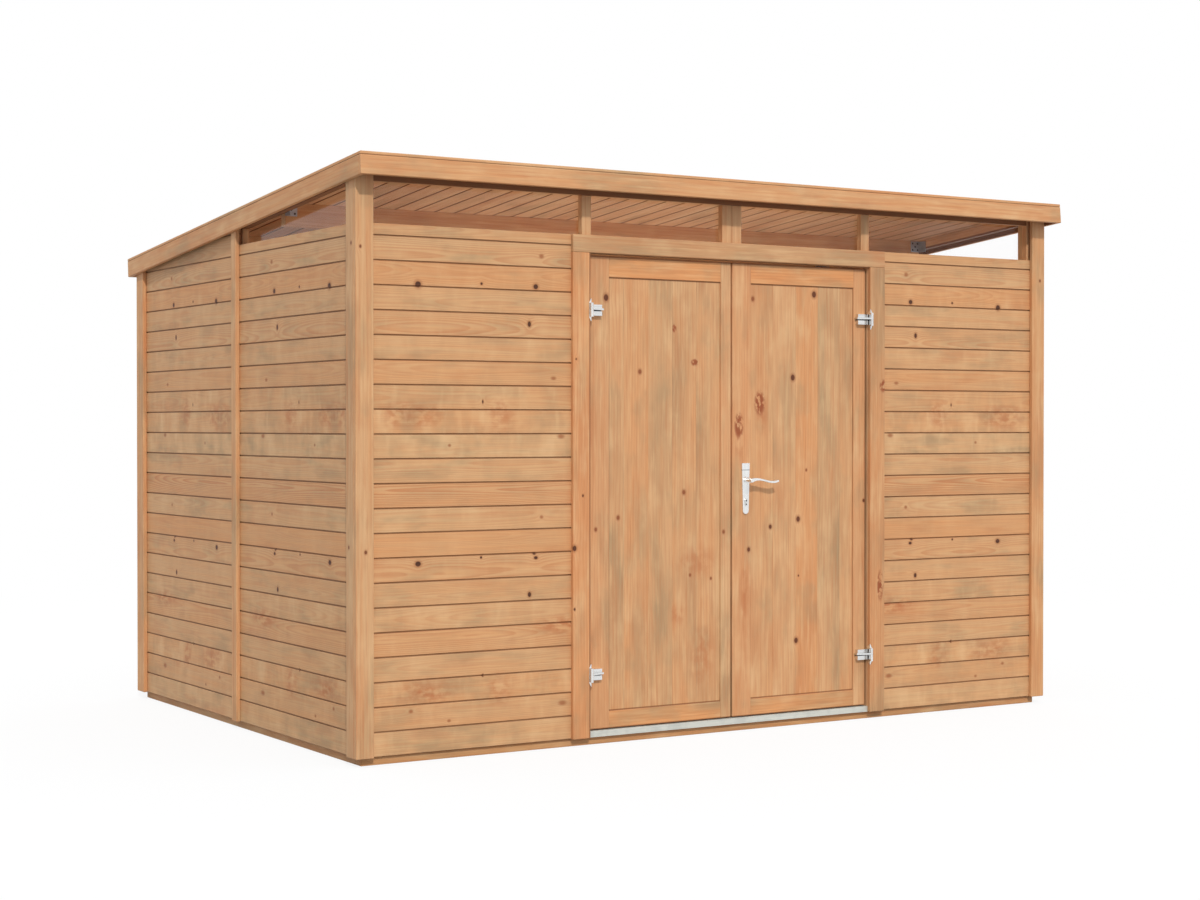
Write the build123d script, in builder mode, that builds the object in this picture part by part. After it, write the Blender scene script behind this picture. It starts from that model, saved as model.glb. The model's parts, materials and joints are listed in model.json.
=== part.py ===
"""Wooden garden shed with a pent roof, a row of high windows and a double door.

Millimetres. +X runs along the front, +Y from the front to the back, +Z up.
The origin is on the ground, under the middle of the roof.
"""
import os
from math import cos, radians, sin, tan

from build123d import *

# Walls
wall_width = 3318.0
wall_depth = 2278.0
sill_height = 1962.0
back_wall_rise = 6.0
cladding_thickness = 16.0
cladding_bottom = 30.0
board_cover = 90.0
board_line = 5.0
board_line_depth = 4.0
cut_overrun = 1.0

# Wall frame timbers
frame_depth = 28.0
frame_width = 42.0
plate_height = 42.0
front_plate_height = 50.0
front_stud_count = 1
side_stud_count = 1
back_stud_count = 3
mullion_place = 686.0
middle_mullion_width = 47.0
middle_mullion_gap = 1.0
glass_thickness = 4.0
glass_inset = 2.0

# Trim boards on the walls
trim_thickness = 18.0
corner_board_width = 72.0
side_corner_board_width = 67.0
batten_width = 50.0

# Base
bearer_width = 42.0
bearer_height = 36.0
joist_count = 4
floor_thickness = 16.0

# Roof
roof_pitch = 5.06
front_overhang = 96.0
back_overhang = 86.0
fascia_thickness = 18.0
fascia_cover = 55.0
roof_board_thickness = 16.0
felt_thickness = 4.0
lath_height = 12.0
lath_width = 40.0
purlin_width = 40.0
purlin_height = 90.0
purlin_count = 2
bracket_leg = 50.0
bracket_sheet = 2.0
bracket_drop = 2.0

# Doorway
doorway_half_width = 688.0
jamb_board_width = 78.0
header_height = 68.0
threshold_sheet = 2.0

# Door leaves
leaf_thickness = 28.0
leaf_recess = 28.0
leaf_side_gap = 6.0
leaf_top_gap = 8.0
leaf_bottom_gap = 4.0
meeting_place = -5.5
meeting_gap = 8.0
left_hinge_stile = 95.0
left_meeting_stile = 49.0
right_hinge_stile = 62.0
right_meeting_stile = 92.0
top_rail = 80.0
bottom_rail = 66.0
panel_thickness = 16.0
panel_recess = 6.0
panel_gap = 3.0
door_board_cover = 115.0
door_board_line = 3.0
door_board_line_depth = 3.0

# Hinges
hinge_bottom_inset = 214.0
hinge_top_inset = 211.0
hinge_running_gap = 1.0
hinge_pin_radius = 4.0
hinge_pin_clearance = 0.08
hinge_knuckle_radius = 6.5
hinge_knuckle_length = 54.0
hinge_knuckle_gap = 0.3
hinge_sheet = 2.0
hinge_block_width = 52.0
hinge_block_height = 43.0
hinge_block_depth = 18.0
hinge_slot_height = 4.5
hinge_slot_depth = 10.0
hinge_rib_thickness = 7.0
hinge_rib_overhang = 6.0
hinge_rib_proud = 3.0
hinge_strap_width = 20.0
hinge_strap_height = 86.0
hinge_strap_waist = 54.0
hinge_lip_width = 8.0

# Lever handle on the right leaf
handle_place = 62.0
handle_plate_above = 70.0
handle_plate_below = 136.0
handle_plate_top_width = 39.0
handle_plate_bottom_width = 29.0
handle_plate_thickness = 7.0
handle_plate_round = 2.5
handle_cap_height = 28.0
handle_cap_line = 1.5
lever_height = 1010.0
lever_length = 128.0
lever_reach = 46.0
lever_depth = 18.0
lever_root_height = 17.0
lever_tip_height = 9.0
lever_fall = 7.0
lever_tip_rise = 4.0
lever_round = 2.5
lever_shoulder_share = 0.3
lever_low_share = 0.78
lever_neck_radius = 8.5
lever_gap = 0.5
spindle_radius = 5.0
spindle_clearance = 0.5
lock_below_lever = 82.0
lock_radius = 8.5
lock_stem_radius = 5.0
lock_stem_drop = 17.0
lock_proud = 2.0
lock_clearance = 0.3
key_slot_width = 2.0
key_slot_height = 9.0
key_slot_depth = 4.0

# Places worked out from the sizes above
slope = tan(radians(roof_pitch))
pitch_cos = cos(radians(roof_pitch))
pitch_sin = sin(radians(roof_pitch))
fascia_height = fascia_cover + roof_board_thickness
roof_height = fascia_height + lath_height
roof_run = front_overhang + wall_depth + back_overhang
roof_length = roof_run / pitch_cos
total_depth = roof_run + roof_height * pitch_sin

back_wall_height = sill_height + back_wall_rise
doorway_top = sill_height - header_height
half_width = wall_width / 2
front = -total_depth / 2 + roof_height * pitch_sin + front_overhang
back = front + wall_depth
middle = (front + back) / 2
frame_front = front + cladding_thickness
frame_front_inner = frame_front + frame_depth
frame_back = back - cladding_thickness
frame_back_inner = frame_back - frame_depth
frame_side = half_width - cladding_thickness
frame_side_inner = frame_side - frame_depth
trim_front = front - trim_thickness
trim_back = back + trim_thickness
trim_side = half_width + trim_thickness
roof_half_width = trim_side + fascia_thickness
floor_top = bearer_height + floor_thickness
threshold_top = floor_top + threshold_sheet
post_outer = doorway_half_width + frame_width
jamb_outer = doorway_half_width + jamb_board_width

leaf_front = trim_front + leaf_recess
leaf_back = leaf_front + leaf_thickness
leaf_edge = doorway_half_width - leaf_side_gap
leaf_bottom = threshold_top + leaf_bottom_gap
leaf_top = doorway_top - leaf_top_gap
meeting_edges = {-1: meeting_place - meeting_gap / 2, 1: meeting_place + meeting_gap / 2}
hinge_pin_y = trim_front - hinge_sheet - hinge_running_gap - hinge_knuckle_radius
hinge_heights = (leaf_bottom + hinge_bottom_inset, leaf_top - hinge_top_inset)
lock_height = lever_height - lock_below_lever

# The roof's own plane starts at the front fascia's lower outer edge and falls to the back
eaves_run = (back + total_depth / 2 - fascia_cover * pitch_sin) / pitch_cos
fascia_foot = back_wall_height + eaves_run * pitch_sin - fascia_cover * pitch_cos
roof_corner = (0, -total_depth / 2, fascia_foot)
roof_plane = Plane(origin=roof_corner, x_dir=(1, 0, 0), z_dir=(0, pitch_sin, pitch_cos))

os.makedirs("parts", exist_ok=True)


def roof_under(y):
    """Height of the roof boards' underside at the place y."""
    return back_wall_height + (back - y) * slope


def mirrored(span, side):
    """The span on the side that is asked for: -1 for left, 1 for right."""
    return tuple(sorted((side * span[0], side * span[1])))


def timber(place):
    """The span of a frame timber's width around its middle."""
    return (place - frame_width / 2, place + frame_width / 2)


def board(x, y, z):
    """Adds a straight board that fills three spans, each a (low, high) pair."""
    with Locations((sum(x) / 2, sum(y) / 2, sum(z) / 2)):
        Box(x[1] - x[0], y[1] - y[0], z[1] - z[0])


def lines(centres, size):
    """Cuts the lines between boards, each a straight cut of one size."""
    with Locations(*centres):
        Box(*size, mode=Mode.SUBTRACT)


def joints(low, high, cover):
    """Places of the joints between boards of one cover width, counted from the low end."""
    return [low + cover * index for index in range(1, int((high - low) / cover) + 1)]


def lock_outline(grow):
    """Draws the lock cylinder's round head and stem, or a hole that clears them."""
    with Locations((handle_place, lock_height)):
        Circle(lock_radius + grow)
    with Locations((handle_place, lock_height - lock_stem_drop)):
        Circle(lock_stem_radius + grow)
    with Locations((handle_place, lock_height - lock_stem_drop / 2)):
        Rectangle(2 * (lock_stem_radius + grow), lock_stem_drop)


def upright(x, y, foot, drop=0.0):
    """Adds a post from its foot to the sloping underside of the roof, or to a line below that."""
    with BuildSketch(Plane.YZ.offset(x[0])) as outline:
        with BuildLine():
            Polyline(
                (y[0], foot),
                (y[1], foot),
                (y[1], roof_under(y[1]) - drop),
                (y[0], roof_under(y[0]) - drop),
                close=True,
            )
        make_face()
    extrude(outline.sketch, amount=x[1] - x[0])


def sloping_rail(x, y, height):
    """Adds a rail of the given height that follows the underside of the roof."""
    with BuildSketch(Plane.YZ.offset(x[0])) as outline:
        with BuildLine():
            Polyline(
                (y[0], roof_under(y[0]) - height),
                (y[1], roof_under(y[1]) - height),
                (y[1], roof_under(y[1])),
                (y[0], roof_under(y[0])),
                close=True,
            )
        make_face()
    extrude(outline.sketch, amount=x[1] - x[0])


def save(piece, name):
    """Labels a finished piece and writes it."""
    piece.part.label = name
    export_step(piece.part, f"parts/{name}.step")


def spread(low, high, count):
    """Places of evenly spaced pieces between two ends, the ends left out."""
    return [low + (high - low) * (index + 1) / (count + 1) for index in range(count)]


# Base: bearers all round, joists between them and a floor on top
with BuildPart() as long_bearers:
    for y in ((frame_front, frame_front + bearer_width), (frame_back - bearer_width, frame_back)):
        board((-frame_side, frame_side), y, (0, bearer_height))
save(long_bearers, "long_bearers")

bearer_span = (frame_front + bearer_width, frame_back - bearer_width)
with BuildPart() as cross_bearers:
    for side in (-1, 1):
        board(mirrored((frame_side - bearer_width, frame_side), side), bearer_span, (0, bearer_height))
    for place in spread(-frame_side + bearer_width, frame_side - bearer_width, joist_count):
        board((place - bearer_width / 2, place + bearer_width / 2), bearer_span, (0, bearer_height))
save(cross_bearers, "cross_bearers")

with BuildPart() as floor_boards:
    board(
        (-frame_side_inner, frame_side_inner),
        (frame_front_inner, frame_back_inner),
        (bearer_height, floor_top),
    )
    floor_joints = joints(frame_front_inner, frame_back_inner, board_cover)
    floor_line = (2 * frame_side_inner + cut_overrun, board_line, 2 * board_line_depth)
    lines([(0, place, floor_top) for place in floor_joints], floor_line)
save(floor_boards, "floor_boards")

# Doorway sill: a wooden strip over the front bearer, capped by an aluminium angle
with BuildPart() as door_sill:
    board((-doorway_half_width, doorway_half_width), (front, frame_front_inner), (bearer_height, floor_top))
    board((-doorway_half_width, doorway_half_width), (front, frame_front), (cladding_bottom, bearer_height))
save(door_sill, "door_sill")

with BuildPart() as threshold:
    board(
        (-doorway_half_width, doorway_half_width),
        (front - threshold_sheet, frame_front_inner),
        (floor_top, threshold_top),
    )
    board(
        (-doorway_half_width, doorway_half_width),
        (front - threshold_sheet, front),
        (cladding_bottom, floor_top),
    )
save(threshold, "threshold")

# Cladding panels of level boards, with a shadow line at each joint
front_joints = joints(cladding_bottom, sill_height, board_cover)
side_joints = joints(cladding_bottom, roof_under(middle), board_cover)
level_line = (wall_width, 2 * board_line_depth, board_line)
side_line = (2 * board_line_depth, wall_depth, board_line)
for name, side in (("left", -1), ("right", 1)):
    side_slab = mirrored((frame_side, half_width), side)

    with BuildPart() as front_cladding:
        front_slab = mirrored((post_outer, half_width), side)
        board(front_slab, (front, frame_front), (cladding_bottom, sill_height))
        lines([(side * half_width, front, height) for height in front_joints], level_line)
    save(front_cladding, f"front_{name}_cladding")

    with BuildPart() as side_front_cladding:
        board(side_slab, (frame_front, middle), (cladding_bottom, sill_height))
        lines([(side * half_width, middle, height) for height in front_joints], side_line)
    save(side_front_cladding, f"{name}_front_cladding")

    with BuildPart() as side_back_cladding:
        upright(side_slab, (middle, frame_back), cladding_bottom)
        lines([(side * half_width, middle, height) for height in side_joints], side_line)
    save(side_back_cladding, f"{name}_back_cladding")

    with BuildPart() as back_cladding:
        upright(mirrored((0, half_width), side), (frame_back, back), cladding_bottom)
        lines([(0, back, height) for height in front_joints], level_line)
    save(back_cladding, f"back_{name}_cladding")

# Wall frames: rails at the foot and the sill, studs between them
stud_foot = bearer_height + frame_width
sill_rail = (sill_height - frame_width, sill_height)
foot_rail = (bearer_height, stud_foot)
front_frame = (frame_front, frame_front_inner)
back_frame = (frame_back_inner, frame_back)
corner_stud = (frame_side - frame_width, frame_side)

with BuildPart() as front_back_rails:
    for side in (-1, 1):
        board(mirrored((post_outer, frame_side), side), front_frame, foot_rail)
        board(mirrored((post_outer, corner_stud[0]), side), front_frame, sill_rail)
    board((-frame_side, frame_side), back_frame, foot_rail)
save(front_back_rails, "front_back_rails")

with BuildPart() as front_back_studs:
    for side in (-1, 1):
        upright(mirrored(corner_stud, side), front_frame, stud_foot)
        upright(mirrored(corner_stud, side), back_frame, stud_foot, plate_height)
        for place in spread(post_outer, corner_stud[0], front_stud_count):
            board(mirrored(timber(place), side), front_frame, (stud_foot, sill_rail[0]))
    for place in spread(-corner_stud[0], corner_stud[0], back_stud_count):
        upright(timber(place), back_frame, stud_foot, plate_height)
save(front_back_studs, "front_back_studs")

with BuildPart() as door_posts:
    for side in (-1, 1):
        board(
            mirrored((doorway_half_width, post_outer), side),
            (front, frame_front_inner),
            (bearer_height, doorway_top),
        )
save(door_posts, "door_posts")

with BuildPart() as lintel:
    board((-post_outer, post_outer), (front, frame_front_inner), (doorway_top, sill_height))
save(lintel, "lintel")

side_span = (frame_front_inner, frame_back_inner)
side_corner_studs = (
    (frame_front_inner, frame_front_inner + frame_width),
    (frame_back_inner - frame_width, frame_back_inner),
)
middle_stud = timber(middle)
window_span = (side_corner_studs[0][1], middle_stud[0])

with BuildPart() as side_rails:
    for side in (-1, 1):
        side_frame = mirrored((frame_side_inner, frame_side), side)
        board(side_frame, side_span, foot_rail)
        board(side_frame, window_span, sill_rail)
save(side_rails, "side_rails")

with BuildPart() as side_studs:
    for side in (-1, 1):
        side_frame = mirrored((frame_side_inner, frame_side), side)
        for span in (*side_corner_studs, middle_stud):
            upright(side_frame, span, stud_foot, plate_height)
        for place in spread(*window_span, side_stud_count):
            board(side_frame, timber(place), (stud_foot, sill_rail[0]))
        for place in spread(middle_stud[1], side_corner_studs[1][0], side_stud_count):
            upright(side_frame, timber(place), stud_foot, plate_height)
save(side_studs, "side_studs")

# Plates along the wall tops, under the roof boards
front_plate_bottom = roof_under(frame_front_inner) - front_plate_height
with BuildPart() as front_back_plates:
    upright((-corner_stud[0], corner_stud[0]), front_frame, front_plate_bottom)
    sloping_rail((-frame_side, frame_side), back_frame, plate_height)
save(front_back_plates, "front_back_plates")

with BuildPart() as side_plates:
    for side in (-1, 1):
        sloping_rail(mirrored((frame_side_inner, frame_side), side), side_span, plate_height)
save(side_plates, "side_plates")

# High windows: short posts on the lintel and panes between the timbers
outer_mullion = timber(mullion_place)
inner_mullion = (middle_mullion_gap / 2, middle_mullion_gap / 2 + middle_mullion_width)
with BuildPart() as mullions:
    for side in (-1, 1):
        for span in (outer_mullion, inner_mullion):
            board(mirrored(span, side), front_frame, (sill_height, front_plate_bottom))
save(mullions, "mullions")

glass_back = frame_front_inner - glass_inset
glass_side = frame_side_inner + glass_inset
with BuildPart() as window_panes:
    for side in (-1, 1):
        for span in ((inner_mullion[1], outer_mullion[0]), (outer_mullion[1], corner_stud[0])):
            board(
                mirrored(span, side),
                (glass_back - glass_thickness, glass_back),
                (sill_height, front_plate_bottom),
            )
        pane = mirrored((glass_side, glass_side + glass_thickness), side)
        upright(pane, window_span, sill_height, plate_height)
save(window_panes, "window_panes")

# Trim: corner boards in pairs, battens over the panel joints, jambs and header round the doorway
corner_board_span = (trim_side - corner_board_width, trim_side)
with BuildPart() as front_back_corner_boards:
    for side in (-1, 1):
        upright(mirrored(corner_board_span, side), (trim_front, front), cladding_bottom)
        upright(mirrored(corner_board_span, side), (back, trim_back), cladding_bottom)
save(front_back_corner_boards, "front_back_corner_boards")

side_trim = (half_width, trim_side)
with BuildPart() as side_corner_boards:
    for side in (-1, 1):
        upright(mirrored(side_trim, side), (front, front + side_corner_board_width), cladding_bottom)
        upright(mirrored(side_trim, side), (back - side_corner_board_width, back), cladding_bottom)
save(side_corner_boards, "side_corner_boards")

with BuildPart() as wall_battens:
    for side in (-1, 1):
        span = (middle - batten_width / 2, middle + batten_width / 2)
        upright(mirrored(side_trim, side), span, cladding_bottom)
    upright((-batten_width / 2, batten_width / 2), (back, trim_back), cladding_bottom)
save(wall_battens, "wall_battens")

with BuildPart() as door_header:
    board((-jamb_outer, jamb_outer), (trim_front, front), (doorway_top, sill_height))
save(door_header, "door_header")

with BuildPart() as jamb_boards:
    for side in (-1, 1):
        board(
            mirrored((doorway_half_width, jamb_outer), side),
            (trim_front, front),
            (cladding_bottom, doorway_top),
        )
save(jamb_boards, "jamb_boards")

# Roof, drawn in its own sloping plane
with BuildPart(roof_plane) as roof_boards:
    board(
        (-trim_side, trim_side),
        (fascia_thickness, roof_length - fascia_thickness),
        (fascia_cover, fascia_height),
    )
    roof_joints = joints(-trim_side, trim_side, board_cover)
    roof_line = (board_line, roof_length, 2 * board_line_depth)
    lines([(place, roof_length / 2, fascia_cover) for place in roof_joints], roof_line)
save(roof_boards, "roof_boards")

with BuildPart(roof_plane) as roof_felt:
    board(
        (-roof_half_width + lath_width, roof_half_width - lath_width),
        (lath_width, roof_length - lath_width),
        (fascia_height, fascia_height + felt_thickness),
    )
save(roof_felt, "roof_felt")

with BuildPart(roof_plane) as front_back_fascias:
    for span in ((0, fascia_thickness), (roof_length - fascia_thickness, roof_length)):
        board((-roof_half_width, roof_half_width), span, (0, fascia_height))
save(front_back_fascias, "front_back_fascias")

with BuildPart(roof_plane) as side_fascias:
    for side in (-1, 1):
        board(
            mirrored((trim_side, roof_half_width), side),
            (fascia_thickness, roof_length - fascia_thickness),
            (0, fascia_height),
        )
save(side_fascias, "side_fascias")

with BuildPart(roof_plane) as front_back_laths:
    for span in ((0, lath_width), (roof_length - lath_width, roof_length)):
        board((-roof_half_width, roof_half_width), span, (fascia_height, roof_height))
save(front_back_laths, "front_back_laths")

with BuildPart(roof_plane) as side_laths:
    for side in (-1, 1):
        board(
            mirrored((roof_half_width - lath_width, roof_half_width), side),
            (lath_width, roof_length - lath_width),
            (fascia_height, roof_height),
        )
save(side_laths, "side_laths")

# Purlins from side to side, hung on steel angles
purlin_places = spread(frame_front_inner, frame_back_inner, purlin_count)
with BuildPart() as purlins:
    for place in purlin_places:
        span = (place - purlin_width / 2, place + purlin_width / 2)
        upright((-frame_side_inner, frame_side_inner), span, roof_under(place) - purlin_height)
save(purlins, "purlins")

with BuildPart() as purlin_brackets:
    for place in purlin_places:
        face = place - purlin_width / 2
        bracket_top = roof_under(face) - bracket_drop
        bracket_z = (bracket_top - bracket_leg, bracket_top)
        for side in (-1, 1):
            purlin_leg = mirrored((frame_side_inner - bracket_leg, frame_side_inner), side)
            wall_leg = mirrored((frame_side_inner - bracket_sheet, frame_side_inner), side)
            board(purlin_leg, (face - bracket_sheet, face), bracket_z)
            board(wall_leg, (face - bracket_leg, face), bracket_z)
save(purlin_brackets, "purlin_brackets")


# Door leaves: stiles and rails round a recessed panel
def leaf_spans(side, hinge_stile, meeting_stile):
    """Spans along X of a leaf's hinge stile, meeting stile and the panel between them."""
    hinge_edge = side * leaf_edge
    meeting_edge = meeting_edges[side]
    hinge_inner = hinge_edge - side * hinge_stile
    meeting_inner = meeting_edge + side * meeting_stile
    pairs = ((hinge_edge, hinge_inner), (meeting_edge, meeting_inner), (hinge_inner, meeting_inner))
    return [tuple(sorted(pair)) for pair in pairs]


def hinge_places(side):
    """Centres of the two hinge pins on one side of the doorway."""
    return [(side * doorway_half_width, hinge_pin_y, height) for height in hinge_heights]


block_end = leaf_edge - hinge_block_width
rib_end = block_end - hinge_rib_overhang
block_front = leaf_front - hinge_block_depth
leaf_depth = (leaf_front, leaf_back)
panel_front = leaf_front + panel_recess
panel_z = (leaf_bottom + bottom_rail, leaf_top - top_rail)
for name, side, hinge_stile, meeting_stile in (
    ("left", -1, left_hinge_stile, left_meeting_stile),
    ("right", 1, right_hinge_stile, right_meeting_stile),
):
    hinge_span, meeting_span, panel_span = leaf_spans(side, hinge_stile, meeting_stile)

    with BuildPart() as stiles:
        board(hinge_span, leaf_depth, (leaf_bottom, leaf_top))
        board(meeting_span, leaf_depth, (leaf_bottom, leaf_top))
        if side == 1:
            with BuildSketch(Plane.XZ.offset(-leaf_back)):
                with Locations((handle_place, lever_height)):
                    Circle(spindle_radius + spindle_clearance)
                lock_outline(lock_clearance)
            extrude(amount=leaf_thickness, mode=Mode.SUBTRACT)
    save(stiles, f"{name}_door_stiles")

    with BuildPart() as rails:
        board(panel_span, leaf_depth, (leaf_bottom, panel_z[0]))
        board(panel_span, leaf_depth, (panel_z[1], leaf_top))
    save(rails, f"{name}_door_rails")

    # The panel's face stands clear of the frame all round, its back half fills the frame
    with BuildPart() as panel:
        board(panel_span, (panel_front + panel_thickness / 2, panel_front + panel_thickness), panel_z)
        board(
            (panel_span[0] + panel_gap, panel_span[1] - panel_gap),
            (panel_front, panel_front + panel_thickness / 2),
            (panel_z[0] + panel_gap, panel_z[1] - panel_gap),
        )
        door_line = (door_board_line, 2 * door_board_line_depth, leaf_top - leaf_bottom)
        door_joints = joints(*sorted(side * edge for edge in panel_span), door_board_cover)
        lines([(side * place, panel_front, sum(panel_z) / 2) for place in door_joints], door_line)
    save(panel, f"{name}_door_panel")

    # Leaf half of each hinge: a knuckle over the pin, a rib, and a slotted block on the stile's face
    with BuildPart() as leaf_hinges:
        for x, y, z in hinge_places(side):
            with BuildSketch(Plane.XY.offset(z + hinge_knuckle_gap)):
                with Locations((x, y)):
                    Circle(hinge_knuckle_radius)
                    Circle(hinge_pin_radius + hinge_pin_clearance, mode=Mode.SUBTRACT)
            extrude(amount=hinge_knuckle_length / 2 - hinge_knuckle_gap)
            with BuildSketch(Plane.XY.offset(z + hinge_knuckle_gap)):
                with BuildLine():
                    Polyline(
                        (x - side * hinge_knuckle_radius, y),
                        (side * leaf_edge, leaf_front),
                        (side * rib_end, leaf_front),
                        (side * rib_end, block_front - hinge_rib_proud),
                        (x - side * hinge_pin_radius, y - hinge_pin_radius - hinge_pin_clearance),
                        close=True,
                    )
                make_face()
                with Locations((x, y)):
                    Circle(hinge_pin_radius + hinge_pin_clearance, mode=Mode.SUBTRACT)
            extrude(amount=hinge_rib_thickness)
            board(
                mirrored((block_end, leaf_edge), side),
                (block_front, leaf_front),
                (z - hinge_block_height / 2, z + hinge_block_height / 2),
            )
            hinge_slot = (2 * hinge_block_width, 2 * hinge_slot_depth, hinge_slot_height)
            lines([(side * block_end, block_front, z - hinge_slot_height / 2)], hinge_slot)
    save(leaf_hinges, f"{name}_door_hinges")

# Jamb half of each hinge: a strap on the reveal with a lip on the jamb's face, a knuckle and the pin
with BuildPart() as jamb_hinges:
    for side in (-1, 1):
        for x, y, z in hinge_places(side):
            with BuildSketch(Plane.XY.offset(z - hinge_knuckle_length / 2)):
                with Locations((x, y)):
                    Circle(hinge_knuckle_radius)
            extrude(amount=hinge_knuckle_length / 2)
            with BuildSketch(Plane.XY.offset(z)):
                with Locations((x, y)):
                    Circle(hinge_pin_radius)
            extrude(amount=hinge_knuckle_length / 2)
            board(
                mirrored((doorway_half_width - hinge_sheet, doorway_half_width), side),
                (y, trim_front),
                (z - hinge_knuckle_length / 2, z),
            )
            low, high = z - hinge_strap_height / 2, z + hinge_strap_height / 2
            waist_low, waist_high = z - hinge_strap_waist / 2, z + hinge_strap_waist / 2
            strap_end = trim_front + hinge_strap_width
            with BuildSketch(Plane.YZ.offset(min(x, x - side * hinge_sheet))):
                with BuildLine():
                    Polyline(
                        (trim_front - hinge_sheet, low),
                        (trim_front, low),
                        (strap_end, waist_low),
                        (strap_end, waist_high),
                        (trim_front, high),
                        (trim_front - hinge_sheet, high),
                        close=True,
                    )
                make_face()
            extrude(amount=hinge_sheet)
            with BuildSketch(Plane.XZ.offset(-trim_front)):
                with BuildLine():
                    Polyline(
                        (x, low),
                        (x, high),
                        (x + side * hinge_lip_width, waist_high),
                        (x + side * hinge_lip_width, waist_low),
                        close=True,
                    )
                make_face()
            extrude(amount=hinge_sheet)
save(jamb_hinges, "jamb_hinges")

# Back plates of the handle, one on each face of the right leaf, tapered to a round foot
plate_top = lever_height + handle_plate_above
plate_foot = lever_height - handle_plate_below + handle_plate_bottom_width / 2
outer_plate = leaf_front - handle_plate_thickness
inner_plate = leaf_back + handle_plate_thickness
with BuildPart() as handle_plates:
    for face in (leaf_front, inner_plate):
        with BuildSketch(Plane.XZ.offset(-face)):
            with BuildLine():
                Polyline(
                    (handle_place - handle_plate_bottom_width / 2, plate_foot),
                    (handle_place + handle_plate_bottom_width / 2, plate_foot),
                    (handle_place + handle_plate_top_width / 2, plate_top),
                    (handle_place - handle_plate_top_width / 2, plate_top),
                    close=True,
                )
            make_face()
            with Locations((handle_place, plate_foot)):
                Circle(handle_plate_bottom_width / 2)
        extrude(amount=handle_plate_thickness)
    for plate_rim in (edges().group_by(Axis.Y)[0], edges().group_by(Axis.Y)[-1]):
        fillet(plate_rim, handle_plate_round)
    cap_bottom = plate_top - handle_cap_height
    cap_line = (handle_plate_top_width, handle_cap_line, handle_cap_line)
    lines([(handle_place, face, cap_bottom) for face in (outer_plate, inner_plate)], cap_line)
    with BuildSketch(Plane.XZ.offset(-inner_plate)):
        with Locations((handle_place, lever_height)):
            Circle(spindle_radius + spindle_clearance)
        lock_outline(lock_clearance)
    extrude(amount=inner_plate - outer_plate, mode=Mode.SUBTRACT)
save(handle_plates, "handle_plates")

# Lock cylinder through the leaf and both plates, with a key slot at each end
with BuildPart() as lock_cylinder:
    with BuildSketch(Plane.XZ.offset(-inner_plate - lock_proud)):
        lock_outline(0)
    extrude(amount=inner_plate - outer_plate + 2 * lock_proud)
    slot_ends = (outer_plate - lock_proud, inner_plate + lock_proud)
    key_slot = (key_slot_width, 2 * key_slot_depth, key_slot_height)
    lines([(handle_place, face, lock_height) for face in slot_ends], key_slot)
save(lock_cylinder, "lock_cylinder")

# Levers on both faces, joined by the spindle through the leaf
outer_neck = outer_plate - lever_gap
inner_neck = inner_plate + lever_gap
lever_end = handle_place + lever_length
lever_low = lever_height - lever_fall
shoulder_x = handle_place + lever_shoulder_share * lever_length
low_x = handle_place + lever_low_share * lever_length
lever_top = lever_height + lever_root_height / 2
tip_middle = lever_low + lever_tip_rise
with BuildPart() as door_lever:
    with BuildSketch(Plane.XZ.offset(-inner_neck)):
        with Locations((handle_place, lever_height)):
            Circle(spindle_radius)
    extrude(amount=inner_neck - outer_neck)
    for neck, outward in ((outer_neck, 1), (inner_neck, -1)):
        with BuildSketch(Plane.XZ.offset(-neck)):
            with Locations((handle_place, lever_height)):
                Circle(lever_neck_radius)
        extrude(amount=outward * (lever_reach - lever_depth))
        with BuildSketch(Plane.XZ.offset(-neck + outward * (lever_reach - lever_depth))):
            with BuildLine():
                top_edge = Spline(
                    (handle_place, lever_top),
                    (shoulder_x, lever_top),
                    (low_x, lever_low + lever_tip_height / 2),
                    (lever_end, tip_middle + lever_tip_height / 2),
                )
                bottom_edge = Spline(
                    (lever_end, tip_middle - lever_tip_height / 2),
                    (low_x, lever_low - lever_tip_height / 2),
                    (shoulder_x, lever_top - lever_tip_height),
                    (handle_place, lever_height - lever_root_height / 2),
                )
                ThreePointArc(
                    bottom_edge @ 1,
                    (handle_place - lever_root_height / 2, lever_height),
                    top_edge @ 0,
                )
                ThreePointArc(
                    top_edge @ 1,
                    (lever_end + lever_tip_height / 2, tip_middle),
                    bottom_edge @ 0,
                )
            make_face()
        extrude(amount=outward * lever_depth)
    for lever_rim in (edges().group_by(Axis.Y)[0], edges().group_by(Axis.Y)[-1]):
        fillet(lever_rim, lever_round)
save(door_lever, "door_lever")
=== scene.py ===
"""Looks of a wooden garden shed with a pent roof, high windows and a double door. Metres, in the part's own frame."""
import json
import math

import bmesh
import bpy
from mathutils import Matrix, Vector

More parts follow.
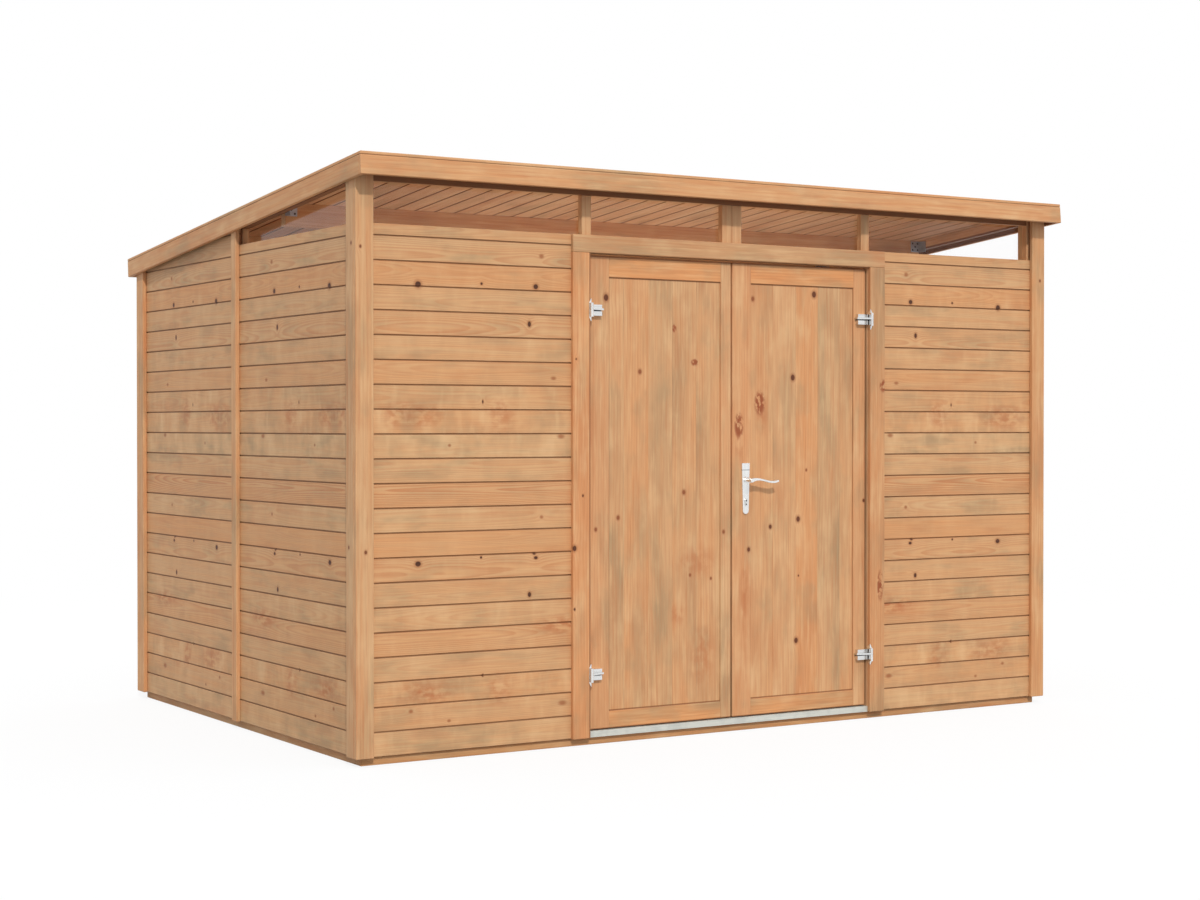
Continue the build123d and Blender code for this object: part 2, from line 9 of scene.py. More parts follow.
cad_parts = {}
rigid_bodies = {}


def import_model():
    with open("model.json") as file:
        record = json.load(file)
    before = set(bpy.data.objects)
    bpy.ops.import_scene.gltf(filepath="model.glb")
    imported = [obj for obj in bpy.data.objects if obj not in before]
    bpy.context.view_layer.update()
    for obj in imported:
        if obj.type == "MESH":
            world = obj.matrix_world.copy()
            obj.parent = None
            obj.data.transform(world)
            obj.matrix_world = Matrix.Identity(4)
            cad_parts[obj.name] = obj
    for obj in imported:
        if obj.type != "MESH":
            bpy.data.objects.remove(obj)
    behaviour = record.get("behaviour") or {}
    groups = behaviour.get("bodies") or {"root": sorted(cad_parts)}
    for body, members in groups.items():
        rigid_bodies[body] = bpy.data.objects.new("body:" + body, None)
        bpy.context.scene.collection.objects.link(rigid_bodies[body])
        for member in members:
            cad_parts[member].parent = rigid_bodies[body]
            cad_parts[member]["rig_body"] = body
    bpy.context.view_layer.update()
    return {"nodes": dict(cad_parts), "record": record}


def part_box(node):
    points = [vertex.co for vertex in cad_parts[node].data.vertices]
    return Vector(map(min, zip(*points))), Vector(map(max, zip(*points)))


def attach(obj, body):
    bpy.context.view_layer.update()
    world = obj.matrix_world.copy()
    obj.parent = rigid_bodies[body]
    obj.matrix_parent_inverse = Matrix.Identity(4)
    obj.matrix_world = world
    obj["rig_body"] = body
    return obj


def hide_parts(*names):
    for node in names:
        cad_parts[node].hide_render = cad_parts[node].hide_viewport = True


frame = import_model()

# Bearers and joists
# Sawn spruce lengths on the ground, dipped brown, with the edges just taken off.
# The front and back bearers run through, and the end bearers and joists are screwed between them.
X_AXIS = Vector((1, 0, 0))
Y_AXIS = Vector((0, 1, 0))
Z_AXIS = Vector((0, 0, 1))
SHORT_EDGE = 0.011
node_slots = {part["node"]: part["material_slot"] for part in frame["record"]["subparts"]}


class Shade:
    """One output in a material's nodes. Sums on it add Math nodes to the same material."""

    def __init__(self, tree, socket=None):
        self.tree = tree
        self.socket = socket

    def node(self, kind, settings=None, sockets=None, out=0):
        """Adds a node: its settings first, then the values or links of its sockets."""
        made = self.tree.nodes.new("ShaderNode" + kind)
        for name, value in (settings or {}).items():
            if name == "stops":
                marks = made.color_ramp.elements
                marks.remove(marks[1])
                marks[0].position, marks[0].color = value[0]
                for position, colour in value[1:]:
                    marks.new(position).color = colour
            elif name == "steps":
                made.color_ramp.interpolation = value
            else:
                setattr(made, name, value)
        for name, value in (sockets or {}).items():
            socket = next(s for s in made.inputs if name in (s.identifier, s.name))
            if isinstance(value, Shade):
                self.tree.links.new(value.socket, socket)
            else:
                socket.default_value = value
        outputs = [s for s in made.outputs if out in (s.identifier, s.name)] or list(made.outputs)
        return Shade(self.tree, outputs[0] if outputs else None)

    def math(self, operation, *values):
        """A Math node on up to three values or links."""
        names = ("Value", "Value_001", "Value_002")
        return self.node("Math", {"operation": operation}, dict(zip(names, values)))

    def __add__(self, other):
        return self.math("ADD", self, other)

    def __sub__(self, other):
        return self.math("SUBTRACT", self, other)

    def __rsub__(self, other):
        return self.math("SUBTRACT", other, self)

    def __mul__(self, other):
        return self.math("MULTIPLY", self, other)

    def __truediv__(self, other):
        return self.math("DIVIDE", self, other)

    def __rtruediv__(self, other):
        return self.math("DIVIDE", other, self)

    def __pow__(self, other):
        return self.math("POWER", self, other)

    __radd__ = __add__
    __rmul__ = __mul__

    def vector(self, operation, other=(0, 0, 0), out="Vector"):
        """Vector Math with a second vector, given as a link or as three numbers."""
        return self.node("VectorMath", {"operation": operation}, {"Vector": self, "Vector_001": other}, out)

    def noise(self, stretch, detail=2.0):
        """Noise over this place, with so many repeats a metre along each of its axes."""
        place = self.vector("MULTIPLY", stretch)
        return self.node("TexNoise", None, {"Vector": place, "Scale": 1.0, "Detail": detail}, "Fac")

    def ease(self, low, high):
        """A smooth rise from 0 at low to 1 at high, or a fall where low is the larger."""
        ends = {"Value": self, "From Min": low, "From Max": high}
        return self.node("MapRange", {"interpolation_type": "SMOOTHSTEP"}, ends)

    def mix(self, first, second):
        """A colour between two, by this share."""
        colours = {"Factor_Float": self}
        for name, colour in (("A_Color", first), ("B_Color", second)):
            colours[name] = colour if isinstance(colour, Shade) else (*colour, 1.0)
        return self.node("Mix", {"data_type": "RGBA"}, colours, "Result_Color")

    def nearest(self, spots):
        """How far the nearest of some round or long spots is, in spot sizes."""
        found = None
        for centre, size in spots:
            offset = self.vector("SUBTRACT", centre).vector("DIVIDE", size)
            far = offset.vector("LENGTH", out="Value")
            found = far if found is None else found.math("MINIMUM", found, far)
        return found


def tint(red, green, blue):
    """A colour from 0 to 255 as a paint chart gives it, in the render's own light."""
    shares = (value / 255 for value in (red, green, blue))
    return tuple(share / 12.92 if share < 0.04 else ((share + 0.055) / 1.055) ** 2.4 for share in shares)


def begin(name):
    """A new material with no nodes."""
    material = bpy.data.materials.new(name)
    material.use_nodes = True
    material.node_tree.nodes.clear()
    return material, Shade(material.node_tree)


RELIEF_STRENGTH = 0.5


def lacquer(start, colour, rough, height, relief=0.0005, gloss=0.3, metal=0.0):
    """Closes a material with its colour, roughness and fine relief."""
    carved = {"Strength": RELIEF_STRENGTH, "Distance": relief, "Height": height}
    bump = start.node("Bump", None, carved, "Normal")
    finish = {
        "Base Color": colour, "Roughness": rough, "Metallic": metal, "Specular IOR Level": gloss, "Normal": bump,
    }
    surface = start.node("BsdfPrincipled", None, finish)
    start.node("OutputMaterial", None, {"Surface": surface})


RED_TONE = tint(188, 116, 72)
GREY_TONE = tint(160, 138, 104)
BRIGHT_TONE = tint(232, 194, 146)
# Dark brown for board joints, also used for painted shade lines.
JOINT_AND_SHADE_TONE = tint(118, 72, 42)
KNOT_RIM = tint(150, 84, 48)
KNOT_CORE = tint(58, 31, 22)
FAINT_CORE = tint(142, 82, 50)
MARK_TONE = tint(146, 70, 38)
KNOT_RIM_REACH = (2.0, 0.9)
KNOT_RIM_SHARE = 0.5
KNOT_CORE_REACH = (1.1, 0.75)
KNOT_CORE_SHARE = 0.95
RING_WIDTH = 0.013
FIGURE_SHIFT = (9, 7, 5)
FIBRE_SHARE = 0.16
ROW_JOINT = (0.07, 0.04)
ROW_JOINT_SHARE = 0.8
WOOD_ROUGH = 0.56
WOOD_ROUGH_RISE = 0.12


def knotted(colour, near, core):
    """Puts knots into a colour, by the distance to the nearest: a red rim and a dark core."""
    colour = (near.ease(*KNOT_RIM_REACH) * KNOT_RIM_SHARE).mix(colour, KNOT_RIM)
    return (near.ease(*KNOT_CORE_REACH) * KNOT_CORE_SHARE).mix(colour, core)


def timber(
    name, pale, warm, along, across, knots=(), core=KNOT_CORE,
    faint=(), reds=(), marks=(), seams=(), tones=(), row=(),
):
    """Spruce with its grain along one axis. Knots, red clouds and red marks are centres and sizes. A seam is a dark
    band painted along a plane, mostly as painted shade: its normal, its place, half its width, its blur and how dark
    it is. Tones are strips of their own warmth and grey, and a row is boards of one width with dark joints."""
    material, start = begin(name)
    place = start.node("TexCoord", None, None, "Object")
    plank = start.node("Attribute", {"attribute_name": "plank"}, None, "Fac")
    chance = start.node("TexWhiteNoise", {"noise_dimensions": "1D"}, {"W": plank}, "Color")
    axes = [place.vector("DOT_PRODUCT", axis, "Value") for axis in (along, across, along.cross(across))]
    own_shift = chance.vector("MULTIPLY", FIGURE_SHIFT)
    grain = start.node("CombineXYZ", None, dict(zip("XYZ", axes))).vector("ADD", own_shift)
    wander = grain.noise((0.55, 4.0, 4.0), 1.0)
    fibre = grain.noise((5.0, 300.0, 300.0), 2.0)
    streak = grain.noise((0.8, 42.0, 42.0), 3.0)
    cloud = grain.noise((1.7, 6.0, 6.0), 3.0)
    bloom = grain.noise((2.6, 9.0, 9.0), 3.0)
    curl = grain.noise((5.5, 8.0, 8.0), 3.0)
    fleck = grain.noise((6.0, 70.0, 70.0), 3.0)
    phase = (axes[1] + axes[2] * 0.6) / RING_WIDTH + wander * 5.0
    if knots:
        near = place.nearest(knots)
        phase = phase + 2.0 / (1.0 + near * near * 0.2)
    ring = phase.math("FRACT", phase)
    late = ring.ease(0.25, 0.85) * ring.ease(1.0, 0.9) * streak.ease(0.3, 0.65)
    warmth = streak.ease(0.3, 0.7) * 0.6 + start.node("SeparateColor", None, {"Color": chance}, "Red") * 0.4
    grey = bloom.ease(0.5, 0.74) * 0.5
    if tones:
        first, span, stops = tones
        strip = {"Fac": (axes[1] - first) / span}
        strips = [((edge - first) / span, (*tone, 0, 1)) for edge, *tone in stops]
        own = start.node("ValToRGB", {"steps": "CONSTANT", "stops": strips}, strip)
        warmth = warmth * 0.5 + start.node("SeparateColor", None, {"Color": own}, "Red") * 0.6
        grey = grey * 0.8 + start.node("SeparateColor", None, {"Color": own}, "Green") * cloud.ease(0.36, 0.66)
    colour = warmth.mix(pale, warm)
    colour = (cloud.ease(0.5, 0.76) * 0.42).mix(colour, RED_TONE)
    colour = grey.mix(colour, GREY_TONE)
    colour = (curl.ease(0.5, 0.75) * 0.36).mix(colour, BRIGHT_TONE)
    colour = (curl.ease(0.46, 0.24) * 0.36).mix(colour, GREY_TONE)
    colour = (late * 0.24 * (0.3 + curl * 1.4)).mix(colour, RED_TONE)
    colour = (fleck.ease(0.5, 0.72) * 0.28).mix(colour, BRIGHT_TONE)
    colour = (fleck.ease(0.48, 0.28) * 0.26).mix(colour, RED_TONE)
    if reds:
        share = place.noise((26.0, 26.0, 16.0), 4.0).ease(0.36, 0.62) * (0.25 + streak * 0.7)
        colour = (place.nearest(reds).ease(1.5, 0.2) * share).mix(colour, RED_TONE)
    if marks:
        blotch = place.noise((70.0, 70.0, 45.0), 2.0)
        colour = (place.nearest(marks).ease(1.3, 0.6) * blotch.ease(0.38, 0.52) * 0.9).mix(colour, MARK_TONE)
    if faint:
        colour = knotted(colour, place.nearest(faint), FAINT_CORE)
    if knots:
        colour = knotted(colour, near, core)
    shade = fibre.ease(0.25, 0.75)
    colour = (FIBRE_SHARE - shade * FIBRE_SHARE).mix(colour, KNOT_RIM)
    if row:
        first, cover = row
        level = (axes[1] - first) / cover + 0.5
        edge = level.math("FRACT", level) - 0.5
        joint = edge.math("ABSOLUTE", edge).ease(*ROW_JOINT)
        colour = (joint * ROW_JOINT_SHARE).mix(colour, JOINT_AND_SHADE_TONE)
    # Each seam paints a dark band along its plane, mostly as painted shade.
    for normal, height, half, blur, share in seams:
        away = place.vector("DOT_PRODUCT", normal, "Value") - height
        dark = away.math("ABSOLUTE", away).ease(half + blur, half - blur)
        colour = (dark * share).mix(colour, JOINT_AND_SHADE_TONE)
    lacquer(start, colour, WOOD_ROUGH + shade * WOOD_ROUGH_RISE, shade * 0.5 - late * 0.5)
    return material


def number_planks(bm):
    """Gives each loose timber of a mesh its own number, so that no two share their figure."""
    layer = bm.faces.layers.float.new("plank")
    count = 0
    for face in bm.faces:
        if face[layer]:
            continue
        count += 1
        waiting = [face]
        while waiting:
            found = waiting.pop()
            if not found[layer]:
                found[layer] = count
                beside = [other for edge in found.edges for other in edge.link_faces]
                waiting.extend(other for other in beside if not other[layer])


def settle(bm, name, body, material, slot, *nodes):
    """Makes a finished mesh an object on its body, in place of the nodes that it shows."""
    number_planks(bm)
    mesh = bpy.data.meshes.new(name)
    bm.to_mesh(mesh)
    bm.free()
    mesh.materials.append(material)
    piece = bpy.data.objects.new(name, mesh)
    bpy.context.scene.collection.objects.link(piece)
    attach(piece, body)
    if nodes:
        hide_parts(*nodes)
    return piece


WELD = 0.00001
FLAT_ANGLE = 0.01
SHARP_ANGLE = 0.5
EASE_STEPS = 2
ROUND_PROFILE = 0.5


def eased(node, ease, material):
    """A node's timbers again, with their long edges rounded as the planer leaves them."""
    bm = bmesh.new()
    bm.from_mesh(frame["nodes"][node].data)
    bmesh.ops.remove_doubles(bm, verts=bm.verts, dist=WELD)
    bmesh.ops.dissolve_limit(bm, angle_limit=FLAT_ANGLE, verts=bm.verts, edges=bm.edges)
    sharp = [e for e in bm.edges if e.calc_length() > SHORT_EDGE and e.calc_face_angle(0.0) > SHARP_ANGLE]
    bmesh.ops.bevel(
        bm, geom=sharp, offset=ease, segments=EASE_STEPS, profile=ROUND_PROFILE,
        affect="EDGES", material=-1, clamp_overlap=True,
    )
    body = frame["nodes"][node]["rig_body"]
    return settle(bm, node + "_timber", body, material, node_slots[node], node)


BEARER_EASE = 0.0025
BEARER_PALE = tint(205, 158, 110)
BEARER_WARM = tint(196, 140, 90)
eased("long_bearers", BEARER_EASE, timber("bearer_long_grain", BEARER_PALE, BEARER_WARM, X_AXIS, Z_AXIS))
eased("cross_bearers", BEARER_EASE, timber("bearer_cross_grain", BEARER_PALE, BEARER_WARM, Y_AXIS, Z_AXIS))

# Floor
# Tongued and grooved spruce boards laid along the shed and nailed to the joists.
# Each board has a tongue on one edge and a groove on the other, and eased edges leave a line at each joint.
BOARD_COVER = 0.090
BOARD_THICKNESS = 0.016
BOARD_GAP = 0.005
GAP_DEPTH = 0.0045
TONGUE_REACH = 0.008
TONGUE_THICKNESS = 0.006
TONGUE_PLAY = 0.0005
BACK_GAP = 0.0006
BOARD_EASE = 0.0018
LIP_STEPS = 3


def boards(length, count, origin, run, inward, rise, cuts=()):
    """A row of tongued boards. Each runs along run, its face looks away from inward, and the row goes up rise."""
    face_low, face_high = BOARD_GAP / 2, BOARD_COVER - BOARD_GAP / 2
    back_low, back_high = BACK_GAP / 2, BOARD_COVER - BACK_GAP / 2
    tongue_top = face_high + BOARD_GAP / 2 + TONGUE_REACH
    groove_top = tongue_top - BOARD_COVER + TONGUE_PLAY
    tongue_back = GAP_DEPTH + TONGUE_THICKNESS
    outline = (
        (0, face_low), (0, face_high), (GAP_DEPTH, face_high), (GAP_DEPTH, tongue_top), (tongue_back, tongue_top),
        (tongue_back, back_high), (BOARD_THICKNESS, back_high), (BOARD_THICKNESS, back_low),
        (tongue_back + TONGUE_PLAY, back_low), (tongue_back + TONGUE_PLAY, groove_top),
        (GAP_DEPTH - TONGUE_PLAY, groove_top), (GAP_DEPTH - TONGUE_PLAY, face_low),
    )
    bm = bmesh.new()
    end = bm.faces.new([bm.verts.new((0, depth, height)) for depth, height in outline])
    far = bmesh.ops.extrude_face_region(bm, geom=[end], use_keep_orig=True)
    moved = [v for v in far["geom"] if isinstance(v, bmesh.types.BMVert)]
    bmesh.ops.translate(bm, verts=moved, vec=(length, 0, 0))
    lips = [e for e in bm.edges if e.calc_length() > length / 2 and e.verts[0].co.y < GAP_DEPTH / 2]
    bmesh.ops.bevel(
        bm, geom=lips, offset=BOARD_EASE, segments=LIP_STEPS, profile=ROUND_PROFILE, affect="EDGES", material=-1
    )
    bmesh.ops.spin(
        bm, geom=bm.verts[:] + bm.edges[:] + bm.faces[:], angle=0, steps=count - 1, use_duplicate=True,
        axis=(1, 0, 0), cent=(0, 0, 0), dvec=(0, 0, BOARD_COVER),
    )
    lay = Matrix((run, inward, rise)).transposed().to_4x4()
    lay.translation = origin
    bmesh.ops.transform(bm, matrix=lay, verts=bm.verts)
    for point, outward in cuts:
        whole = bm.verts[:] + bm.edges[:] + bm.faces[:]
        bmesh.ops.bisect_plane(bm, geom=whole, plane_co=point, plane_no=outward, clear_outer=True)
        bmesh.ops.holes_fill(bm, edges=[e for e in bm.edges if e.is_boundary], sides=0)
    bmesh.ops.recalc_face_normals(bm, faces=bm.faces)
    return bm


INNER_PALE = tint(216, 176, 136)
INNER_WARM = tint(208, 160, 118)
low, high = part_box("floor_boards")
rows = math.ceil((high.y - low.y) / BOARD_COVER)
floor_cut = ((0, high.y, 0), Y_AXIS)
bm = boards(high.x - low.x, rows, Vector((low.x, low.y, high.z)), X_AXIS, -Z_AXIS, Y_AXIS, [floor_cut])
floor_grain = timber("floor_grain", INNER_PALE, INNER_WARM, X_AXIS, Y_AXIS, row=(low.y, BOARD_COVER))
settle(bm, "floor_planks", "shed", floor_grain, "inner_board_wood", "floor_boards")

# Door sill and threshold
# A spruce strip across the doorway, capped by an angle of drawn aluminium that the leaves pass over.
# The angle is left as it comes from the press, with fine lines along its length.
SILL_EASE = 0.002
ALUMINIUM = tint(214, 215, 206)
ALUMINIUM_DULL = tint(186, 188, 182)
SHEET_EASE = 0.0004
LINES_ALONG = 3.0
LINES_ACROSS = 700.0
METAL_RELIEF = 0.00008
METAL_GLOSS = 0.5
eased("door_sill", SILL_EASE, timber("sill_grain", INNER_PALE, INNER_WARM, X_AXIS, Y_AXIS))


def drawn_metal(name, bright, dull, along, rough, metal, groove=()):
    """Bare sheet or drawn metal with fine lines along one axis, a few dull clouds and, if wanted, a level dark line
    painted as the shade of a groove.
    """
    material, start = begin(name)
    place = start.node("TexCoord", None, None, "Object")
    stretch = tuple(LINES_ALONG if axis else LINES_ACROSS for axis in along)
    drawn = place.noise(stretch, 2.0)
    cloud = place.noise((14.0, 14.0, 14.0), 3.0)
    colour = (drawn.ease(0.3, 0.7) * 0.5 + cloud.ease(0.45, 0.7) * 0.5).mix(bright, dull)
    if groove:
        height, half, tone = groove
        away = place.vector("DOT_PRODUCT", Z_AXIS, "Value") - height
        colour = away.math("ABSOLUTE", away).ease(half, half * 0.6).mix(colour, tone)
    lacquer(start, colour, rough + cloud * 0.14, drawn, METAL_RELIEF, METAL_GLOSS, metal)
    return material


eased("threshold", SHEET_EASE, drawn_metal("threshold_metal", ALUMINIUM, ALUMINIUM_DULL, X_AXIS, 0.4, 0.35))

# Wall boarding
# Level spruce boards, tongued into each other and nailed to the wall frame, face side out.
# Red and grey heartwood clouds, dark knots and a shadow line at each joint show through the brown dip.
CLAD_PALE = tint(212, 172, 127)
CLAD_WARM = tint(216, 157, 106)
ROOF_PITCH = math.radians(5.06)
ROOF_RUN = Vector((0, math.cos(ROOF_PITCH), -math.sin(ROOF_PITCH)))
ROOF_UP = Vector((0, math.sin(ROOF_PITCH), math.cos(ROOF_PITCH)))
SIDE_LEADS = {"front": 0.019, "back": -0.009}
CLAD_RING = 0.0058
CLAD_FIBRE = 0.17
CLAD_JOINT = (0.0036, 0.0024)
CLAD_JOINT_SHARE = 0.6
ROW_TONES = (
    (0.15, 0.80, 0.2), (0.50, 0.50, 0.3), (0.60, 1.00, 0.2), (0.30, 0.30, 0.3), (0.65, 0.30, 0.6),
    (0.30, 0.60, 0.3), (0.40, 0.30, 0.3), (0.50, 0.30, 0.6), (0.90, 0.20, 0.2), (0.20, 0.40, 0.3),
    (0.60, 0.10, 1.0), (0.25, 0.35, 0.4), (0.10, 1.00, 0.1), (0.60, 1.00, 0.2), (0.50, 0.70, 0.3),
    (0.75, 0.30, 0.3), (0.35, 0.50, 0.3), (0.40, 0.40, 0.6), (0.30, 0.40, 0.3), (0.90, 0.50, 0.4),
    (0.20, 0.30, 0.6), (0.35, 0.30, 0.4), (0.50, 0.40, 0.3), (0.30, 0.30, 0.4), (0.50, 0.30, 0.3),
)
WALL_ROWS = len(ROW_TONES)
DARK_KNOTS = (
    ((0.241, 1.747, 0), (0.0125, 0.0120, 1)), ((0.505, 1.759, 0), (0.0050, 0.0050, 1)),
    ((0.738, 1.756, 0), (0.0105, 0.0100, 1)), ((0.710, 1.614, 0), (0.0075, 0.0110, 1)),
    ((0.240, 0.725, 0), (0.0120, 0.0100, 1)), ((0.502, 0.740, 0), (0.0045, 0.0045, 1)),
    ((0.731, 0.747, 0), (0.0070, 0.0045, 1)), ((0.738, 0.731, 0), (0.0085, 0.0060, 1)),
    ((0.710, 0.593, 0), (0.0075, 0.0100, 1)), ((0.510, 1.320, 0), (0.0030, 0.0070, 1)),
    ((0.509, 0.300, 0), (0.0045, 0.0055, 1)),
)
BROWN_KNOTS = (
    ((0.763, 1.872, 0), (0.0110, 0.0090, 1)), ((0.816, 1.411, 0), (0.0120, 0.0070, 1)),
    ((0.370, 1.158, 0), (0.0070, 0.0060, 1)), ((0.849, 1.190, 0), (0.0160, 0.0090, 1)),
    ((0.763, 0.885, 0), (0.0080, 0.0070, 1)), ((0.210, 0.187, 0), (0.0090, 0.0070, 1)),
    ((0.367, 0.141, 0), (0.0080, 0.0060, 1)), ((0.855, 0.173, 0), (0.0180, 0.0100, 1)),
)
RED_CLOUDS = (
    ((0.205, 1.270, 0), (0.150, 0.050, 1)), ((0.585, 1.280, 0), (0.060, 0.060, 1)),
    ((0.285, 0.255, 0), (0.120, 0.048, 1)), ((0.580, 0.245, 0), (0.050, 0.058, 1)),
    ((0.850, 0.470, 0), (0.120, 0.036, 1)),
)


def wall_wood(name, foot):
    """Spruce boarding. Each board has its own tone and figure, and the knots lie where the wall has them."""
    material, start = begin(name)
    place = start.node("TexCoord", None, None, "Object")
    panel = start.node("UVMap", {"uv_map": "panel"})
    height = start.node("SeparateXYZ", None, {"Vector": panel}, "Y")
    level = (height - foot) / BOARD_COVER
    row = level.math("FLOOR", level)
    within = level - row
    chance = start.node("TexWhiteNoise", {"noise_dimensions": "1D"}, {"W": row + 0.5}, "Color")
    shifts = [start.node("SeparateColor", None, {"Color": chance}, side) for side in ("Red", "Green", "Blue")]
    run = place.vector("DOT_PRODUCT", (1, 1, 0), "Value") + shifts[0] * 40.0
    across = (within - 0.5) * BOARD_COVER
    grain = start.node("CombineXYZ", None, {"X": run, "Y": across, "Z": shifts[1] * 9.0})
    marks = [(index / WALL_ROWS, (*tone, 1)) for index, tone in enumerate(ROW_TONES)]
    own = start.node("ValToRGB", {"steps": "CONSTANT", "stops": marks}, {"Fac": (row + 0.5) / WALL_ROWS})
    warmth, curled, figure = (
        start.node("SeparateColor", None, {"Color": own}, side) for side in ("Red", "Green", "Blue")
    )
    dark = panel.nearest(DARK_KNOTS)
    brown = panel.nearest(BROWN_KNOTS)
    wander = grain.noise((1.6, 7.0, 1.0), 2.0)
    sway = grain.noise((0.9, 2.0, 1.0), 1.0)
    fibre = grain.noise((5.0, 320.0, 1.0), 2.0)
    streak = grain.noise((1.5, 50.0, 1.0), 3.0)
    cloud = grain.noise((3.0, 14.0, 1.0), 3.0)
    bloom = grain.noise((4.2, 13.0, 1.0), 3.0)
    curl = grain.noise((9.0, 6.0, 1.0), 3.0)
    ripple = grain.noise((26.0, 7.0, 1.0), 2.0)
    aside = across - (shifts[2] - 0.5) * 0.05 + (wander - 0.5) * 0.03
    depth = 0.012 + shifts[1] * 0.03 + (sway - 0.5) * 0.09
    swirl = 1.6 / (1.0 + dark * dark * 0.12) + 1.2 / (1.0 + brown * brown * 0.2)
    phase = (aside * aside + depth * depth) ** 0.5 / CLAD_RING + swirl
    ring = phase.math("FRACT", phase)
    late = ring.ease(0.2, 0.85) * ring.ease(1.0, 0.9) * (0.15 + figure)
    colour = (warmth * 0.75 + streak.ease(0.3, 0.7) * 0.35).mix(CLAD_PALE, CLAD_WARM)
    mottle = panel.noise((22.0, 34.0, 1.0), 4.0)
    red = panel.nearest(RED_CLOUDS).ease(1.5, 0.2) * mottle.ease(0.36, 0.6) * (0.45 + ripple)
    colour = (cloud.ease(0.54, 0.76) * 0.35 + red * 0.85).mix(colour, RED_TONE)
    colour = (bloom.ease(0.48, 0.72) * 0.55 * (1.2 - warmth)).mix(colour, GREY_TONE)
    colour = (curl.ease(0.55, 0.25) * curled * 0.42).mix(colour, GREY_TONE)
    colour = (late * 0.5).mix(colour, RED_TONE)
    shimmer = curl.ease(0.46, 0.78) * 0.5 + ripple.ease(0.5, 0.85) * 0.35
    colour = (shimmer * curled).mix(colour, BRIGHT_TONE)
    colour = (brown.ease(1.5, 0.3) * 0.75).mix(colour, KNOT_RIM)
    colour = knotted(colour, dark, KNOT_CORE)
    shade = fibre.ease(0.25, 0.75)
    colour = (CLAD_FIBRE - shade * CLAD_FIBRE).mix(colour, KNOT_RIM)
    edge = (0.5 - (within - 0.5).math("ABSOLUTE", within - 0.5)) * BOARD_COVER
    colour = (edge.ease(*CLAD_JOINT) * CLAD_JOINT_SHARE).mix(colour, JOINT_AND_SHADE_TONE)
    lacquer(start, colour, WOOD_ROUGH + shade * WOOD_ROUGH_RISE, shade * 0.5 - late * 0.5)
    return material


def panel_map(bm, measure):
    """Lays a map of the panel over its boards: the distance from the panel's first end, and the height."""
    layer = bm.loops.layers.uv.new("panel")
    for face in bm.faces:
        for loop in face.loops:
            loop[layer].uv = (measure(loop.vert.co), loop.vert.co.z)


clad_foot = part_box("front_left_cladding")[0].z
clad_top = ((0, 0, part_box("front_left_cladding")[1].z), Z_AXIS)
back_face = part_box("back_left_cladding")[1].y
EAVES_HEIGHT = 1.968
roof_cut = ((0, back_face, EAVES_HEIGHT), ROOF_UP)
clad_grain = wall_wood("wall_grain", clad_foot)
for wall, part, run, inward, cut in (
    ("front", "left", X_AXIS, Y_AXIS, clad_top), ("front", "right", X_AXIS, Y_AXIS, clad_top),
    ("left", "front", Y_AXIS, X_AXIS, clad_top), ("left", "back", Y_AXIS, X_AXIS, roof_cut),
    ("right", "front", Y_AXIS, -X_AXIS, clad_top), ("right", "back", Y_AXIS, -X_AXIS, roof_cut),
    ("back", "left", X_AXIS, -Y_AXIS, roof_cut), ("back", "right", X_AXIS, -Y_AXIS, roof_cut),
):
    low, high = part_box(f"{wall}_{part}_cladding")
    first = Vector((low.x if inward != -X_AXIS else high.x, low.y if inward != -Y_AXIS else high.y, low.z))
    rows = math.ceil((high.z - low.z) / BOARD_COVER)
    bm = boards((high - low).dot(run), rows, first, run, inward, Z_AXIS, [cut])
    end = high if part == "right" else low + run * SIDE_LEADS.get(part, 0.0)
    panel_map(bm, lambda place: abs((place - end).dot(run)))
    settle(bm, f"{wall}_{part}_boards", "shed", clad_grain, "cladding_wood", f"{wall}_{part}_cladding")

# Wall frames
# Planed spruce studs and rails behind the boarding, posts and a lintel round the doorway, plates under the roof.
# Short mullions carry the roof's front edge over the glass. All are dipped in the same brown, and painted shade
# darkens the front plates' face and the side plates' underside.
FRAME_EASE = 0.002
FRAME_PALE = tint(213, 169, 125)
FRAME_WARM = tint(208, 155, 108)
# Painted shade: a dark band over the front plates' face.
PLATE_SHADE = (0.004, 0.001, 0.85)
SLOPE_SHADE = (0.008, 0.001, 0.85)
frame_upright = timber("frame_upright_grain", FRAME_PALE, FRAME_WARM, Z_AXIS, X_AXIS)
frame_level = timber("frame_level_grain", FRAME_PALE, FRAME_WARM, X_AXIS, Z_AXIS)
front_shade = (Y_AXIS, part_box("front_back_plates")[0].y, *PLATE_SHADE)
frame_plate = timber("frame_plate_grain", FRAME_PALE, FRAME_WARM, X_AXIS, Z_AXIS, seams=[front_shade])
frame_side = timber("frame_side_grain", FRAME_PALE, FRAME_WARM, Y_AXIS, Z_AXIS)
low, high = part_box("side_plates")
# Painted shade: a dark band along the side plates' underside.
side_shade = (ROOF_UP, ROOF_UP.y * high.y + ROOF_UP.z * low.z, *SLOPE_SHADE)
frame_slope = timber("frame_slope_grain", FRAME_PALE, FRAME_WARM, ROOF_RUN, ROOF_UP, seams=[side_shade])
for node, grain in (
    ("front_back_studs", frame_upright), ("side_studs", frame_upright), ("door_posts", frame_upright),
    ("mullions", frame_upright), ("front_back_rails", frame_level), ("front_back_plates", frame_plate),
    ("lintel", frame_level), ("side_rails", frame_side), ("side_plates", frame_slope),
):
    eased(node, FRAME_EASE, grain)

